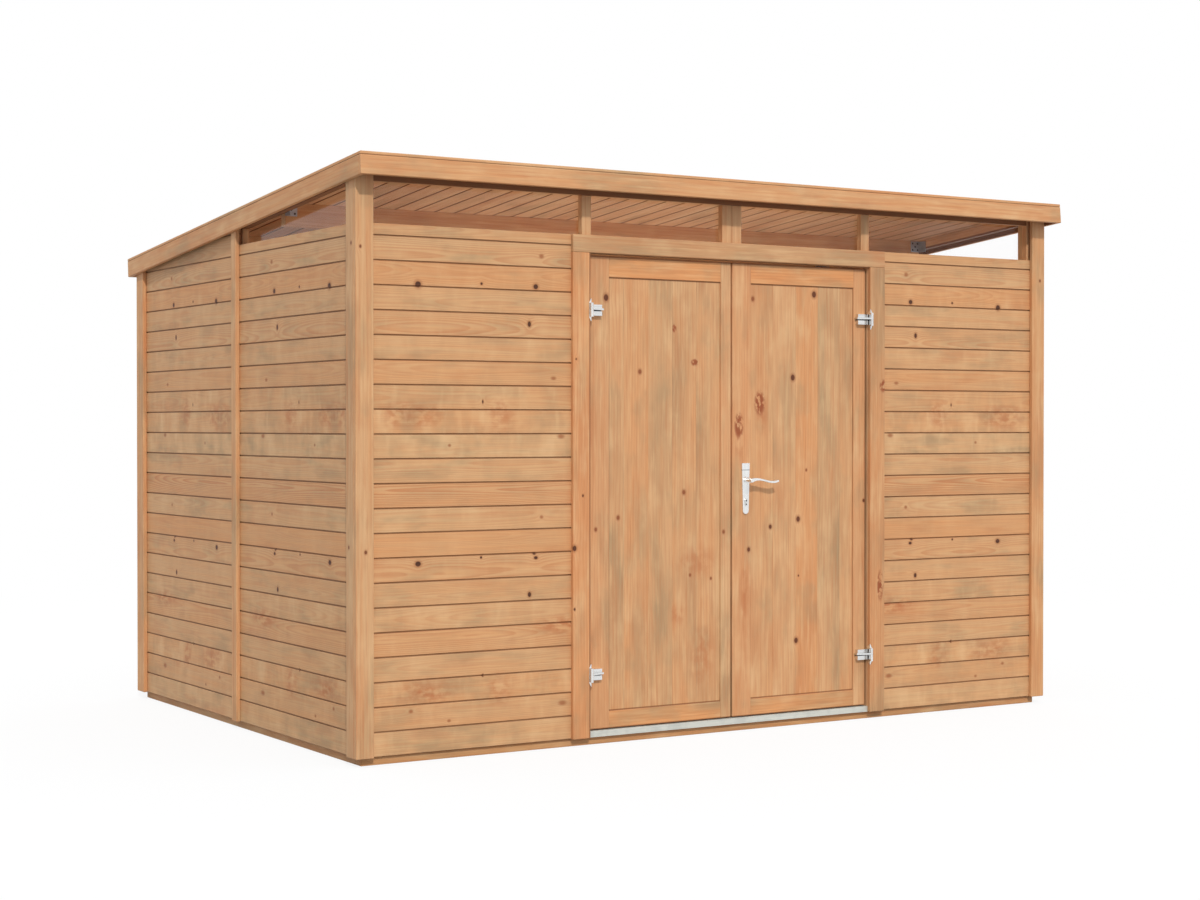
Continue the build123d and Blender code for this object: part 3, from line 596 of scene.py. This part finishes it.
# High windows
# Clear sheet glass, 4 mm thick, held between the frame timbers.
# It is nearly colourless, and shines more the more it is seen from the side.
GLASS_SHINE = 0.012
GLASS_FALL = 6.5
CLEAR = (1.0, 1.0, 1.0, 1.0)
MIRROR_TINT = (0.92, 0.93, 0.96, 1.0)
MIRROR_ROUGH = 0.02
glass, start = begin("clear_glass")
facing = start.node("LayerWeight", None, {"Blend": 0.5}, "Facing")
shine = GLASS_SHINE + (1.0 - GLASS_SHINE) * facing ** GLASS_FALL
clear = start.node("BsdfTransparent", None, {"Color": CLEAR})
mirror = start.node("BsdfGlossy", None, {"Color": MIRROR_TINT, "Roughness": MIRROR_ROUGH})
pane = start.node("MixShader", None, {"Fac": shine, "Shader": clear, "Shader_001": mirror})
start.node("OutputMaterial", None, {"Surface": pane})
frame["nodes"]["window_panes"].material_slots[0].material = glass

# Corner boards, battens, jambs and header
# Planed spruce strips over the ends of the boarding and round the doorway, nailed on with their edges eased.
# The corner boards go in pairs that meet at each corner.
TRIM_EASE = 0.003
TRIM_PALE = tint(212, 167, 122)
TRIM_WARM = tint(212, 153, 103)
HEADER_PALE = tint(202, 158, 116)
HEADER_WARM = tint(200, 146, 99)
JAMB_PALE = tint(217, 165, 117)
JAMB_WARM = tint(218, 152, 101)
TRIM_CORE = tint(116, 68, 42)
JAMB_CORE = tint(78, 42, 26)
KNOT_HEIGHT = 1.3
TRIM_KNOTS = [
    (centre, (size, size, size * KNOT_HEIGHT))
    for centre, size in (
        ((-1.658, -1.148, 1.874), 0.0045), ((-1.638, -1.148, 0.775), 0.0055), ((1.650, -1.148, 1.872), 0.005),
        ((-1.677, -1.111, 1.888), 0.005), ((-1.677, -1.089, 0.791), 0.005),
    )
]
JAMB_KNOTS = [
    (centre, (size, size, size * KNOT_HEIGHT))
    for centre, size in (
        ((-0.760, -1.148, 0.762), 0.0085), ((-0.723, -1.148, 0.963), 0.004), ((-0.760, -1.148, 0.529), 0.0042),
        ((-0.753, -1.148, 1.485), 0.003),
    )
]
JAMB_TONES = (-0.8, 1.6, ((-0.8, 0.80, 0.0), (0.0, 0.60, 0.70)))
JAMB_MARKS = [
    ((0.756, -1.148, 1.398), (0.018, 0.05, 0.026)), ((0.742, -1.148, 0.560), (0.016, 0.05, 0.060)),
]
# Painted shade: a dark line along the left jamb's doorway edge. A wide faint band also darkens the right jamb.
JAMB_EDGE_SHADE = (0.006, 0.0012, 0.72)
JAMB_DULL = (0.727, 0.050, 0.002, 0.10)
JAMB_LINES = [(X_AXIS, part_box("door_sill")[0].x, *JAMB_EDGE_SHADE), (X_AXIS, *JAMB_DULL)]
trim_upright = timber("trim_upright_grain", TRIM_PALE, TRIM_WARM, Z_AXIS, X_AXIS, TRIM_KNOTS, TRIM_CORE)
for node in ("front_back_corner_boards", "side_corner_boards", "wall_battens"):
    eased(node, TRIM_EASE, trim_upright)
jamb_grain = timber(
    "jamb_grain", JAMB_PALE, JAMB_WARM, Z_AXIS, X_AXIS, JAMB_KNOTS, JAMB_CORE,
    marks=JAMB_MARKS, seams=JAMB_LINES, tones=JAMB_TONES,
)
eased("jamb_boards", TRIM_EASE, jamb_grain)
eased("door_header", TRIM_EASE, timber("header_grain", HEADER_PALE, HEADER_WARM, X_AXIS, Z_AXIS))

# Purlins and their angles
# Two planed spruce purlins run from side to side under the roof boards.
# Each end hangs on a zinc plated steel angle, screwed to the purlin and to the side plate.
BRACKET_ZINC = tint(196, 198, 202)
BRACKET_DULL = tint(150, 153, 158)
eased("purlins", FRAME_EASE, frame_level)
zinc = drawn_metal("bracket_zinc", BRACKET_ZINC, BRACKET_DULL, Y_AXIS, 0.36, 0.8)
frame["nodes"]["purlin_brackets"].material_slots[0].material = zinc
ANGLE_SCREW = 0.0044
ANGLE_SHEET = 0.002
SCREW_BRIGHT = tint(72, 66, 66)
SCREW_DULL = tint(44, 40, 42)
SCREW_SPREAD = 0.3
HEAD_SIDES = 12
HEAD_HEIGHT = 0.28
HEAD_TAPER = 0.8
RECESS_RIM = 0.32
RECESS_DEPTH = 0.2


def screw_head(bm, centre, outward, radius):
    """Adds a low countersunk head with a round recess in its middle."""
    stand = Matrix.Translation(centre) @ outward.to_track_quat("Z", "Y").to_matrix().to_4x4()
    lift = Matrix.Translation((0, 0, radius * HEAD_HEIGHT / 2))
    made = bmesh.ops.create_cone(
        bm, cap_ends=True, segments=HEAD_SIDES, radius1=radius, radius2=radius * HEAD_TAPER,
        depth=radius * HEAD_HEIGHT, matrix=stand @ lift,
    )
    faces = {face for vert in made["verts"] for face in vert.link_faces}
    top = max(faces, key=lambda face: face.calc_center_median().dot(outward))
    bmesh.ops.inset_individual(bm, faces=[top], thickness=radius * RECESS_RIM, depth=-radius * RECESS_DEPTH)


def loose_boxes(node):
    """Lowest and highest corners of each loose solid in a node."""
    bm = bmesh.new()
    bm.from_mesh(frame["nodes"][node].data)
    bmesh.ops.remove_doubles(bm, verts=bm.verts, dist=WELD)
    seen, found = set(), []
    for vert in bm.verts:
        group, waiting = [], [vert]
        while waiting:
            here = waiting.pop()
            if here.index not in seen:
                seen.add(here.index)
                group.append(here.co.copy())
                waiting.extend(edge.other_vert(here) for edge in here.link_edges)
        if group:
            corners = [[pick(point[axis] for point in group) for axis in range(3)] for pick in (min, max)]
            found.append([Vector(corner) for corner in corners])
    bm.free()
    return found


bm = bmesh.new()
for low, high in loose_boxes("purlin_brackets"):
    middle = (low + high) / 2
    reach = (high.x - low.x) * SCREW_SPREAD
    for across, up in ((-1, -1), (1, -1), (0, 0), (-1, 1), (1, 1)):
        spot = Vector((middle.x + across * reach, high.y - ANGLE_SHEET, middle.z + up * reach))
        screw_head(bm, spot, -Y_AXIS, ANGLE_SCREW)
steel_and_keyway_shade = drawn_metal("screw_steel_and_keyway_shade", SCREW_BRIGHT, SCREW_DULL, Z_AXIS, 0.4, 0.7)
settle(bm, "angle_screws", "shed", steel_and_keyway_shade, "bracket_steel")

# Roof boards
# Tongued spruce boards that run down the slope, nailed to the plates and purlins with their lined face down.
# Their undersides are the ceiling that shows through the front windows.
low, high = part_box("roof_boards")
deck_length = (high.y - low.y - BOARD_THICKNESS * ROOF_UP.y) / ROOF_RUN.y
deck_foot = EAVES_HEIGHT + (back_face - low.y) * math.tan(ROOF_PITCH)
rows = math.ceil((high.x - low.x) / BOARD_COVER)
deck_cut = ((high.x, 0, 0), X_AXIS)
bm = boards(deck_length, rows, Vector((low.x, low.y, deck_foot)), ROOF_RUN, ROOF_UP, X_AXIS, [deck_cut])
deck_grain = timber("roof_board_grain", INNER_PALE, INNER_WARM, ROOF_RUN, X_AXIS, row=(low.x, BOARD_COVER))
settle(bm, "roof_planks", "shed", deck_grain, "inner_board_wood", "roof_boards")

# Fascias and edge laths
# Planed spruce boards round the roof's edges, with a flat lath on top that holds the felt down.
# The front and back boards cover the ends of the side boards. Painted shade lies along the laths' joints and on the
# side boards' inner faces.
# Painted shade: a dark line along each lath's joint with its board.
LATH_SHADE_LINE = (0.0012, 0.0006, 0.55)
# Painted shade: the side boards' inner faces are darkened.
INSIDE_SHADE = (0.0015, 0.0005, 0.9)
lath_foot = min(corner.co.dot(ROOF_UP) for corner in frame["nodes"]["front_back_laths"].data.vertices)
lath_shade_line = (ROOF_UP, lath_foot, *LATH_SHADE_LINE)
inner_face_shades = [(X_AXIS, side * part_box("roof_boards")[1].x, *INSIDE_SHADE) for side in (-1, 1)]
trim_level = timber("fascia_level_grain", TRIM_PALE, TRIM_WARM, X_AXIS, Z_AXIS, seams=[lath_shade_line])
slope_shade_lines = [lath_shade_line, *inner_face_shades]
trim_slope = timber("fascia_slope_grain", TRIM_PALE, TRIM_WARM, ROOF_RUN, ROOF_UP, seams=slope_shade_lines)
for node, grain in (
    ("front_back_fascias", trim_level), ("front_back_laths", trim_level),
    ("side_fascias", trim_slope), ("side_laths", trim_slope),
):
    eased(node, TRIM_EASE, grain)

# Roof felt
# Dark bitumen felt with slate grit, rolled out across the roof in strips a metre wide.
# Each strip laps over the one below it, and the laths hold the edges.
FELT_THICKNESS = 0.004
FELT_WIDTH = 1.0
FELT_LAP = 0.08
FELT_SHEET = 0.0018
FELT_RAMP = 0.03
FELT_DARK = tint(46, 47, 49)
FELT_PALE = tint(92, 94, 96)
FELT_LAP_SHADE = tint(22, 22, 24)
LAP_LINE = (0.010, 0.003)
LAP_SHARE = 0.7
low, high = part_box("roof_felt")
felt_start = Vector((low.x, low.y, high.z - ROOF_UP.z * FELT_THICKNESS))
felt_run = (high.y - low.y - FELT_THICKNESS * ROOF_UP.y) / ROOF_RUN.y
felt, start = begin("slate_felt")
place = start.node("TexCoord", None, None, "Object")
grit = place.noise((900.0, 900.0, 900.0), 2.0)
speck = place.noise((160.0, 160.0, 160.0), 3.0)
patch = place.noise((3.0, 9.0, 3.0), 4.0)
scatter = grit.ease(0.35, 0.7) * 0.45 + speck.ease(0.4, 0.65) * 0.4 + patch.ease(0.4, 0.7) * 0.15
run = place.vector("DOT_PRODUCT", ROOF_RUN, "Value") - (ROOF_RUN.dot(felt_start) + felt_run)
tone = scatter.mix(FELT_DARK, FELT_PALE)
# Painted shade: a dark line along each lap.
lap_end = 0.0
while lap_end < felt_run - FELT_WIDTH:
    lap_end += FELT_WIDTH - FELT_LAP
    away = run + lap_end
    tone = (away.math("ABSOLUTE", away).ease(*LAP_LINE) * LAP_SHARE).mix(tone, FELT_LAP_SHADE)
lacquer(start, tone, 0.86 + patch * 0.1, grit, 0.0012, 0.3)
bm = bmesh.new()
lower_end = felt_run
while lower_end > 0:
    upper_end = max(0.0, lower_end - FELT_WIDTH)
    lifted = FELT_SHEET if lower_end < felt_run else 0.0
    lap_start = lower_end - FELT_LAP
    path = [(upper_end, 0.0), (lap_start - FELT_RAMP, 0.0), (lap_start, lifted), (lower_end, lifted)]
    rim = path + [(s, h + FELT_SHEET) for s, h in reversed(path)]
    corners = [bm.verts.new(felt_start + ROOF_RUN * s + ROOF_UP * h) for s, h in rim]
    strip = bmesh.ops.extrude_face_region(bm, geom=[bm.faces.new(corners)], use_keep_orig=True)
    moved = [v for v in strip["geom"] if isinstance(v, bmesh.types.BMVert)]
    bmesh.ops.translate(bm, verts=moved, vec=(high.x - low.x, 0, 0))
    lower_end = upper_end + FELT_LAP if upper_end > 0 else 0.0
bmesh.ops.recalc_face_normals(bm, faces=bm.faces)
settle(bm, "felt_strips", "shed", felt, "roof_felt", "roof_felt")

# Door leaves
# Each leaf has planed spruce stiles and rails round a panel of upright boards set back from their face.
# The boards are glued edge to edge, so each shows its own tone and only a fine line at its joints. Painted shade
# lines run round the panels and along the leaves' top and foot and the right leaf's hinge edge.
DOOR_EASE = 0.002
PANEL_COVER = 0.115
PANEL_EASE = 0.0011
DOOR_PALE = tint(215, 169, 124)
DOOR_WARM = tint(217, 155, 106)
RAIL_PALE = tint(221, 164, 112)
RAIL_WARM = tint(225, 153, 96)
PANEL_PALE = tint(213, 168, 123)
PANEL_WARM = tint(217, 155, 104)
DOOR_CORE = tint(88, 44, 26)
DOOR_REACH = 100.0
DOOR_KNOT_HEIGHT = 1.25
DOOR_KNOTS = [
    (centre, (size, DOOR_REACH, size * DOOR_KNOT_HEIGHT))
    for centre, size in (
        ((-0.601, 0, 1.726), 0.0110), ((0.416, 0, 1.772), 0.0110), ((0.307, 0, 1.428), 0.0105),
        ((0.335, 0, 0.847), 0.0095), ((0.193, 0, 0.819), 0.0075), ((0.080, 0, 0.730), 0.0075),
        ((0.325, 0, 0.348), 0.0095), ((0.675, 0, 0.917), 0.0060), ((0.337, 0, 0.614), 0.0035),
    )
]
DOOR_FAINT = [
    (centre, (size, DOOR_REACH, size * DOOR_KNOT_HEIGHT))
    for centre, size in (
        ((-0.441, 0, 1.442), 0.0075), ((-0.233, 0, 0.967), 0.0075), ((-0.542, 0, 0.873), 0.0070),
        ((-0.648, 0, 0.830), 0.0060), ((-0.044, 0, 0.805), 0.0060), ((0.104, 0, 1.744), 0.0075),
        ((0.377, 0, 1.048), 0.0045), ((-0.203, 0, 0.637), 0.0050), ((-0.102, 0, 0.620), 0.0045),
    )
]
DOOR_REDS = [
    (centre, (wide, DOOR_REACH, tall))
    for centre, wide, tall in (
        ((-0.174, 0, 0.689), 0.090, 0.060), ((-0.149, 0, 0.317), 0.060, 0.120), ((-0.265, 0, 0.480), 0.030, 0.040),
        ((0.035, 0, 1.190), 0.024, 0.110), ((0.150, 0, 1.290), 0.032, 0.090), ((0.060, 0, 0.560), 0.020, 0.120),
    )
]
DOOR_MARKS = [
    (centre, (wide, DOOR_REACH, tall))
    for centre, wide, tall in (
        ((0.031, 0, 1.230), 0.022, 0.050), ((0.139, 0, 1.322), 0.026, 0.048), ((-0.181, 0, 1.482), 0.018, 0.014),
        ((0.271, 0, 1.823), 0.012, 0.010), ((-0.279, 0, 1.615), 0.010, 0.016),
    )
]
PANEL_TONES = (-0.6, 1.3, (
    (-0.600, 0.30, 0.35), (-0.5185, 0.85, 0.10), (-0.4035, 0.25, 0.45), (-0.2885, 0.45, 0.35), (-0.1735, 0.60, 0.35),
    (0.000, 0.65, 0.05), (0.2055, 0.05, 0.00), (0.3205, 1.00, 0.00), (0.4355, 0.20, 0.45), (0.5505, 0.45, 0.30),
))
STILE_TONES = (-0.7, 1.4, ((-0.7, 0.60, 0.10), (-0.3, 0.50, 0.65), (-0.005, 1.00, 0.05), (0.3, 0.60, 0.15)))
RAIL_TONES = (0.0, 2.0, ((0.0, 0.20, 0.75), (1.0, 0.75, 0.0)))
# Painted shade: dark lines along the leaves' foot, top and the right leaf's hinge edge.
LEAF_FOOT_SHADE = (0.004, 0.001, 0.7)
LEAF_TOP_SHADE = (0.006, 0.001, 0.7)
LEAF_SIDE_SHADE = (0.003, 0.001, 0.7)
# Painted shade: dark lines round the door panels.
LEFT_PANEL_SHADE = (0.0045, 0.001, 0.65)
NEAR_PANEL_SHADE = (0.0040, 0.001, 0.55)
FAR_PANEL_SHADE = (0.0030, 0.001, 0.45)
PANEL_FOOT_SHADE = (0.0055, 0.001, 0.72)
PANEL_TOP_SHADE = (0.0055, 0.001, 0.65)
LONG_SHARE = 0.9
low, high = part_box("right_door_stiles")
leaf_shade_lines = [(Z_AXIS, low.z, *LEAF_FOOT_SHADE), (Z_AXIS, high.z, *LEAF_TOP_SHADE)]
stile_shade_lines = [*leaf_shade_lines, (X_AXIS, high.x, *LEAF_SIDE_SHADE)]
low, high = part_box("right_door_panel")
panel_shade_lines = [
    (X_AXIS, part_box("left_door_panel")[0].x, *LEFT_PANEL_SHADE), (X_AXIS, low.x, *NEAR_PANEL_SHADE),
    (X_AXIS, high.x, *FAR_PANEL_SHADE), (Z_AXIS, low.z, *PANEL_FOOT_SHADE), (Z_AXIS, high.z, *PANEL_TOP_SHADE),
]
door_upright = timber(
    "door_stile_grain", DOOR_PALE, DOOR_WARM, Z_AXIS, X_AXIS, DOOR_KNOTS, DOOR_CORE,
    DOOR_FAINT, DOOR_REDS, DOOR_MARKS, stile_shade_lines, STILE_TONES,
)
door_level = timber(
    "door_rail_grain", RAIL_PALE, RAIL_WARM, X_AXIS, Z_AXIS, reds=DOOR_REDS, seams=leaf_shade_lines, tones=RAIL_TONES
)
door_panel = timber(
    "door_panel_grain", PANEL_PALE, PANEL_WARM, Z_AXIS, X_AXIS, DOOR_KNOTS, DOOR_CORE,
    DOOR_FAINT, DOOR_REDS, DOOR_MARKS, panel_shade_lines, PANEL_TONES,
)
for side in ("left", "right"):
    eased(f"{side}_door_stiles", DOOR_EASE, door_upright)
    eased(f"{side}_door_rails", DOOR_EASE, door_level)
    low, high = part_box(f"{side}_door_panel")
    near, far = (high.x, low.x) if side == "left" else (low.x, high.x)
    step = math.copysign(PANEL_COVER, far - near)
    bm = bmesh.new()
    while abs(far - near) > PANEL_EASE:
        end = near + step if abs(far - near) > PANEL_COVER else far
        span = Vector((abs(end - near), high.y - low.y, high.z - low.z))
        middle = Vector(((near + end) / 2, (low.y + high.y) / 2, (low.z + high.z) / 2))
        shape = Matrix.Translation(middle) @ Matrix.Diagonal((*span, 1.0))
        made = bmesh.ops.create_cube(bm, size=1.0, matrix=shape)
        edges = {edge for vert in made["verts"] for edge in vert.link_edges}
        edges = sorted(edges, key=lambda edge: (edge.verts[0].co + edge.verts[1].co)[:])
        lips = [edge for edge in edges if edge.calc_length() > span.z * LONG_SHARE]
        bmesh.ops.bevel(
            bm, geom=lips, offset=PANEL_EASE, segments=EASE_STEPS, profile=ROUND_PROFILE, affect="EDGES", material=-1
        )
        near = end
    settle(bm, f"{side}_door_boards", f"{side}_door", door_panel, "door_wood", f"{side}_door_panel")

# Hinges
# Bright zinc plated steel: a strap, knuckle and pin on each jamb, and a rib with a slotted block on each leaf.
# The leaf's knuckle drops over the jamb's pin, and painted shade darkens the slots inside.
HINGE_HEIGHTS = (0.272, 1.675)
HINGE_ROUGH = 0.16
SLOT_HEIGHT = 0.0045
SLOT_DEPTHS = (0.001, 0.003)
BLOCK_DEPTH = 0.018
HINGE_ZINC = tint(238, 238, 236)
HINGE_DULL = tint(206, 207, 208)
hinge_metal = drawn_metal("hinge_zinc", HINGE_ZINC, HINGE_DULL, X_AXIS, HINGE_ROUGH, 1.0)
frame["nodes"]["jamb_hinges"].material_slots[0].material = hinge_metal
# Painted shade inside the hinge blocks' slots.
SLOT_SHADE = tint(52, 56, 62)
slotted, start = begin("hinge_slot_zinc")
place = start.node("TexCoord", None, None, "Object")
rise = place.vector("DOT_PRODUCT", Z_AXIS, "Value")
drawn = place.noise((LINES_ALONG, LINES_ACROSS, LINES_ACROSS), 2.0)
block_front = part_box("left_door_stiles")[0].y - BLOCK_DEPTH
depth = place.vector("DOT_PRODUCT", Y_AXIS, "Value").ease(*(block_front + sunk for sunk in SLOT_DEPTHS))
inside = 0.0
for height in HINGE_HEIGHTS:
    off = rise - (height - SLOT_HEIGHT / 2)
    inside = off.math("ABSOLUTE", off).ease(SLOT_HEIGHT * 0.6, SLOT_HEIGHT * 0.45) + inside
zinc_tone = drawn.ease(0.3, 0.7).mix(HINGE_ZINC, HINGE_DULL)
zinc_and_slot_shade = (inside * depth).mix(zinc_tone, SLOT_SHADE)
lacquer(start, zinc_and_slot_shade, HINGE_ROUGH + drawn * 0.1, drawn, METAL_RELIEF, METAL_GLOSS, 1.0)
for node in ("left_door_hinges", "right_door_hinges"):
    frame["nodes"][node].material_slots[0].material = slotted

# Lever handle and lock
# Satin aluminium: a tapered plate on each face of the right leaf, a curved lever and a lock below it.
# The levers share one spindle, and the lock passes through the leaf.
HANDLE_BRIGHT = tint(240, 240, 238)
HANDLE_DULL = tint(214, 215, 216)
LOCK_BRIGHT = tint(226, 226, 224)
LOCK_DULL = tint(198, 198, 196)
handle_metal = drawn_metal("handle_satin", HANDLE_BRIGHT, HANDLE_DULL, Z_AXIS, 0.2, 0.9)
frame["nodes"]["door_lever"].material_slots[0].material = handle_metal
# Painted shade: a dark line round the plate at the cap's edge.
CAP_SHADE_LINE = (1.052, 0.0014, tint(120, 124, 128))
plate_metal = drawn_metal("plate_satin", HANDLE_BRIGHT, HANDLE_DULL, Z_AXIS, 0.2, 0.9, CAP_SHADE_LINE)
frame["nodes"]["handle_plates"].material_slots[0].material = plate_metal
lock_metal = drawn_metal("lock_nickel", LOCK_BRIGHT, LOCK_DULL, Y_AXIS, 0.22, 0.9)
frame["nodes"]["lock_cylinder"].material_slots[0].material = lock_metal
# Painted shade: two dark steel dots on the lock's face stand for the dark of its keyway.
LOCK_PLACE = 0.062
LOCK_DOTS = (0.928, 0.9135)
DOT_RADIUS = 0.0031
lock_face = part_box("lock_cylinder")[0].y
bm = bmesh.new()
for height in LOCK_DOTS:
    screw_head(bm, Vector((LOCK_PLACE, lock_face, height)), -Y_AXIS, DOT_RADIUS)
settle(bm, "lock_dots", "right_door", steel_and_keyway_shade, "handle_metal")

# Studio
# A plain pale floor that keeps the shed's shadow, a white sky, a soft lamp from the front left and one inside.
# The camera stands where the photograph was taken.
FLOOR_SIZE = 60.0
FLOOR_SEEN = (0.92, 0.92, 0.92)
FLOOR_BOUNCE = (0.38, 0.38, 0.38)
FLOOR_WHITE = 0.84
FLOOR_FADE = (2.5, 7.0)
WHITE = (1.0, 1.0, 1.0, 1.0)
SKY_LIGHT = 0.95
SKY_LEFT = (0.70, 0.77, 0.84)
SKY_RIGHT = (1.04, 1.07, 1.10)
LAMP_LIGHT = 1.75
LAMP_TINT = (1.0, 0.95, 0.88)
LAMP_SIDE = math.radians(21)
LAMP_HEIGHT = math.radians(36)
LAMP_SOFTNESS = math.radians(3)
ROOM_LAMP_SIZE = (2.4, 0.36)
ROOM_LAMP_LIGHT = 13.2
ROOM_LAMP_PLACE = (-0.1, -0.82, 0.95)
CAMERA_PLACE = (-4.8529, -7.8963, 1.2310)
CAMERA_TURN = tuple(math.radians(angle) for angle in (89.3247, 0.0, -31.9407))
CAMERA_LENS = 62.035
CAMERA_FILM = 36.0


def looked_at(start):
    """1 for what the camera sees, straight, in a mirror or through glass, and 0 for light that bounces."""
    seen = start.node("LightPath", None, None, "Is Camera Ray")
    for ray in ("Is Glossy Ray", "Is Transmission Ray"):
        seen = seen.math("MAXIMUM", seen, start.node("LightPath", None, None, ray))
    return seen


pale, start = begin("pale_floor")
seen = looked_at(start)
away = start.node("TexCoord", None, None, "Object").vector("LENGTH", out="Value")
bounce, shown = (
    start.node("BsdfDiffuse", None, {"Color": (*tone, 1.0)}) for tone in (FLOOR_BOUNCE, FLOOR_SEEN)
)
matt = start.node("MixShader", None, {"Fac": seen, "Shader": bounce, "Shader_001": shown})
white = start.node("Emission", None, {"Color": WHITE, "Strength": 1.0})
fade = seen * (FLOOR_WHITE + away.ease(*FLOOR_FADE) * (1.0 - FLOOR_WHITE))
ground = start.node("MixShader", None, {"Fac": fade, "Shader": matt, "Shader_001": white})
start.node("OutputMaterial", None, {"Surface": ground})
bm = bmesh.new()
bmesh.ops.create_grid(bm, x_segments=2, y_segments=2, size=FLOOR_SIZE / 2)
mesh = bpy.data.meshes.new("studio_floor")
bm.to_mesh(mesh)
bm.free()
mesh.materials.append(pale)
studio_floor = bpy.data.objects.new("studio_floor", mesh)
bpy.context.scene.collection.objects.link(studio_floor)

world = bpy.data.worlds.new("white_sky")
world.use_nodes = True
world.node_tree.nodes.clear()
bpy.context.scene.world = world
start = Shade(world.node_tree)
side = start.node("TexCoord", None, None, "Generated").vector("DOT_PRODUCT", X_AXIS, "Value")
left, right = (
    start.node("Background", None, {"Color": (*tone, 1.0), "Strength": SKY_LIGHT})
    for tone in (SKY_LEFT, SKY_RIGHT)
)
sky = start.node("MixShader", None, {"Fac": side * 0.5 + 0.5, "Shader": left, "Shader_001": right})
backdrop = start.node("Background", None, {"Color": WHITE, "Strength": 1.0})
both = start.node("MixShader", None, {"Fac": looked_at(start), "Shader": sky, "Shader_001": backdrop})
start.node("OutputWorld", None, {"Surface": both})

lamp_data = bpy.data.lights.new("key_lamp", "SUN")
lamp_data.energy = LAMP_LIGHT
lamp_data.color = LAMP_TINT
lamp_data.angle = LAMP_SOFTNESS
lamp = bpy.data.objects.new("key_lamp", lamp_data)
flat = math.cos(LAMP_HEIGHT)
towards = Vector((-math.sin(LAMP_SIDE) * flat, -math.cos(LAMP_SIDE) * flat, math.sin(LAMP_HEIGHT)))
lamp.rotation_euler = towards.to_track_quat("Z", "Y").to_euler()
bpy.context.scene.collection.objects.link(lamp)

fill_data = bpy.data.lights.new("room_lamp", "AREA")
fill_data.shape = "RECTANGLE"
fill_data.size, fill_data.size_y = ROOM_LAMP_SIZE
fill_data.energy = ROOM_LAMP_LIGHT
fill_data.color = LAMP_TINT
fill = bpy.data.objects.new("room_lamp", fill_data)
fill.location = ROOM_LAMP_PLACE
fill.rotation_euler = (math.pi, 0, 0)
fill.visible_camera = False
fill.visible_glossy = False
bpy.context.scene.collection.objects.link(fill)

camera_data = bpy.data.cameras.new("photo_camera")
camera_data.lens = CAMERA_LENS
camera_data.sensor_fit = "HORIZONTAL"
camera_data.sensor_width = CAMERA_FILM
camera = bpy.data.objects.new("photo_camera", camera_data)
camera.location = CAMERA_PLACE
camera.rotation_euler = CAMERA_TURN
bpy.context.scene.collection.objects.link(camera)
bpy.context.scene.camera = camera
bpy.context.scene.view_settings.view_transform = "Standard"
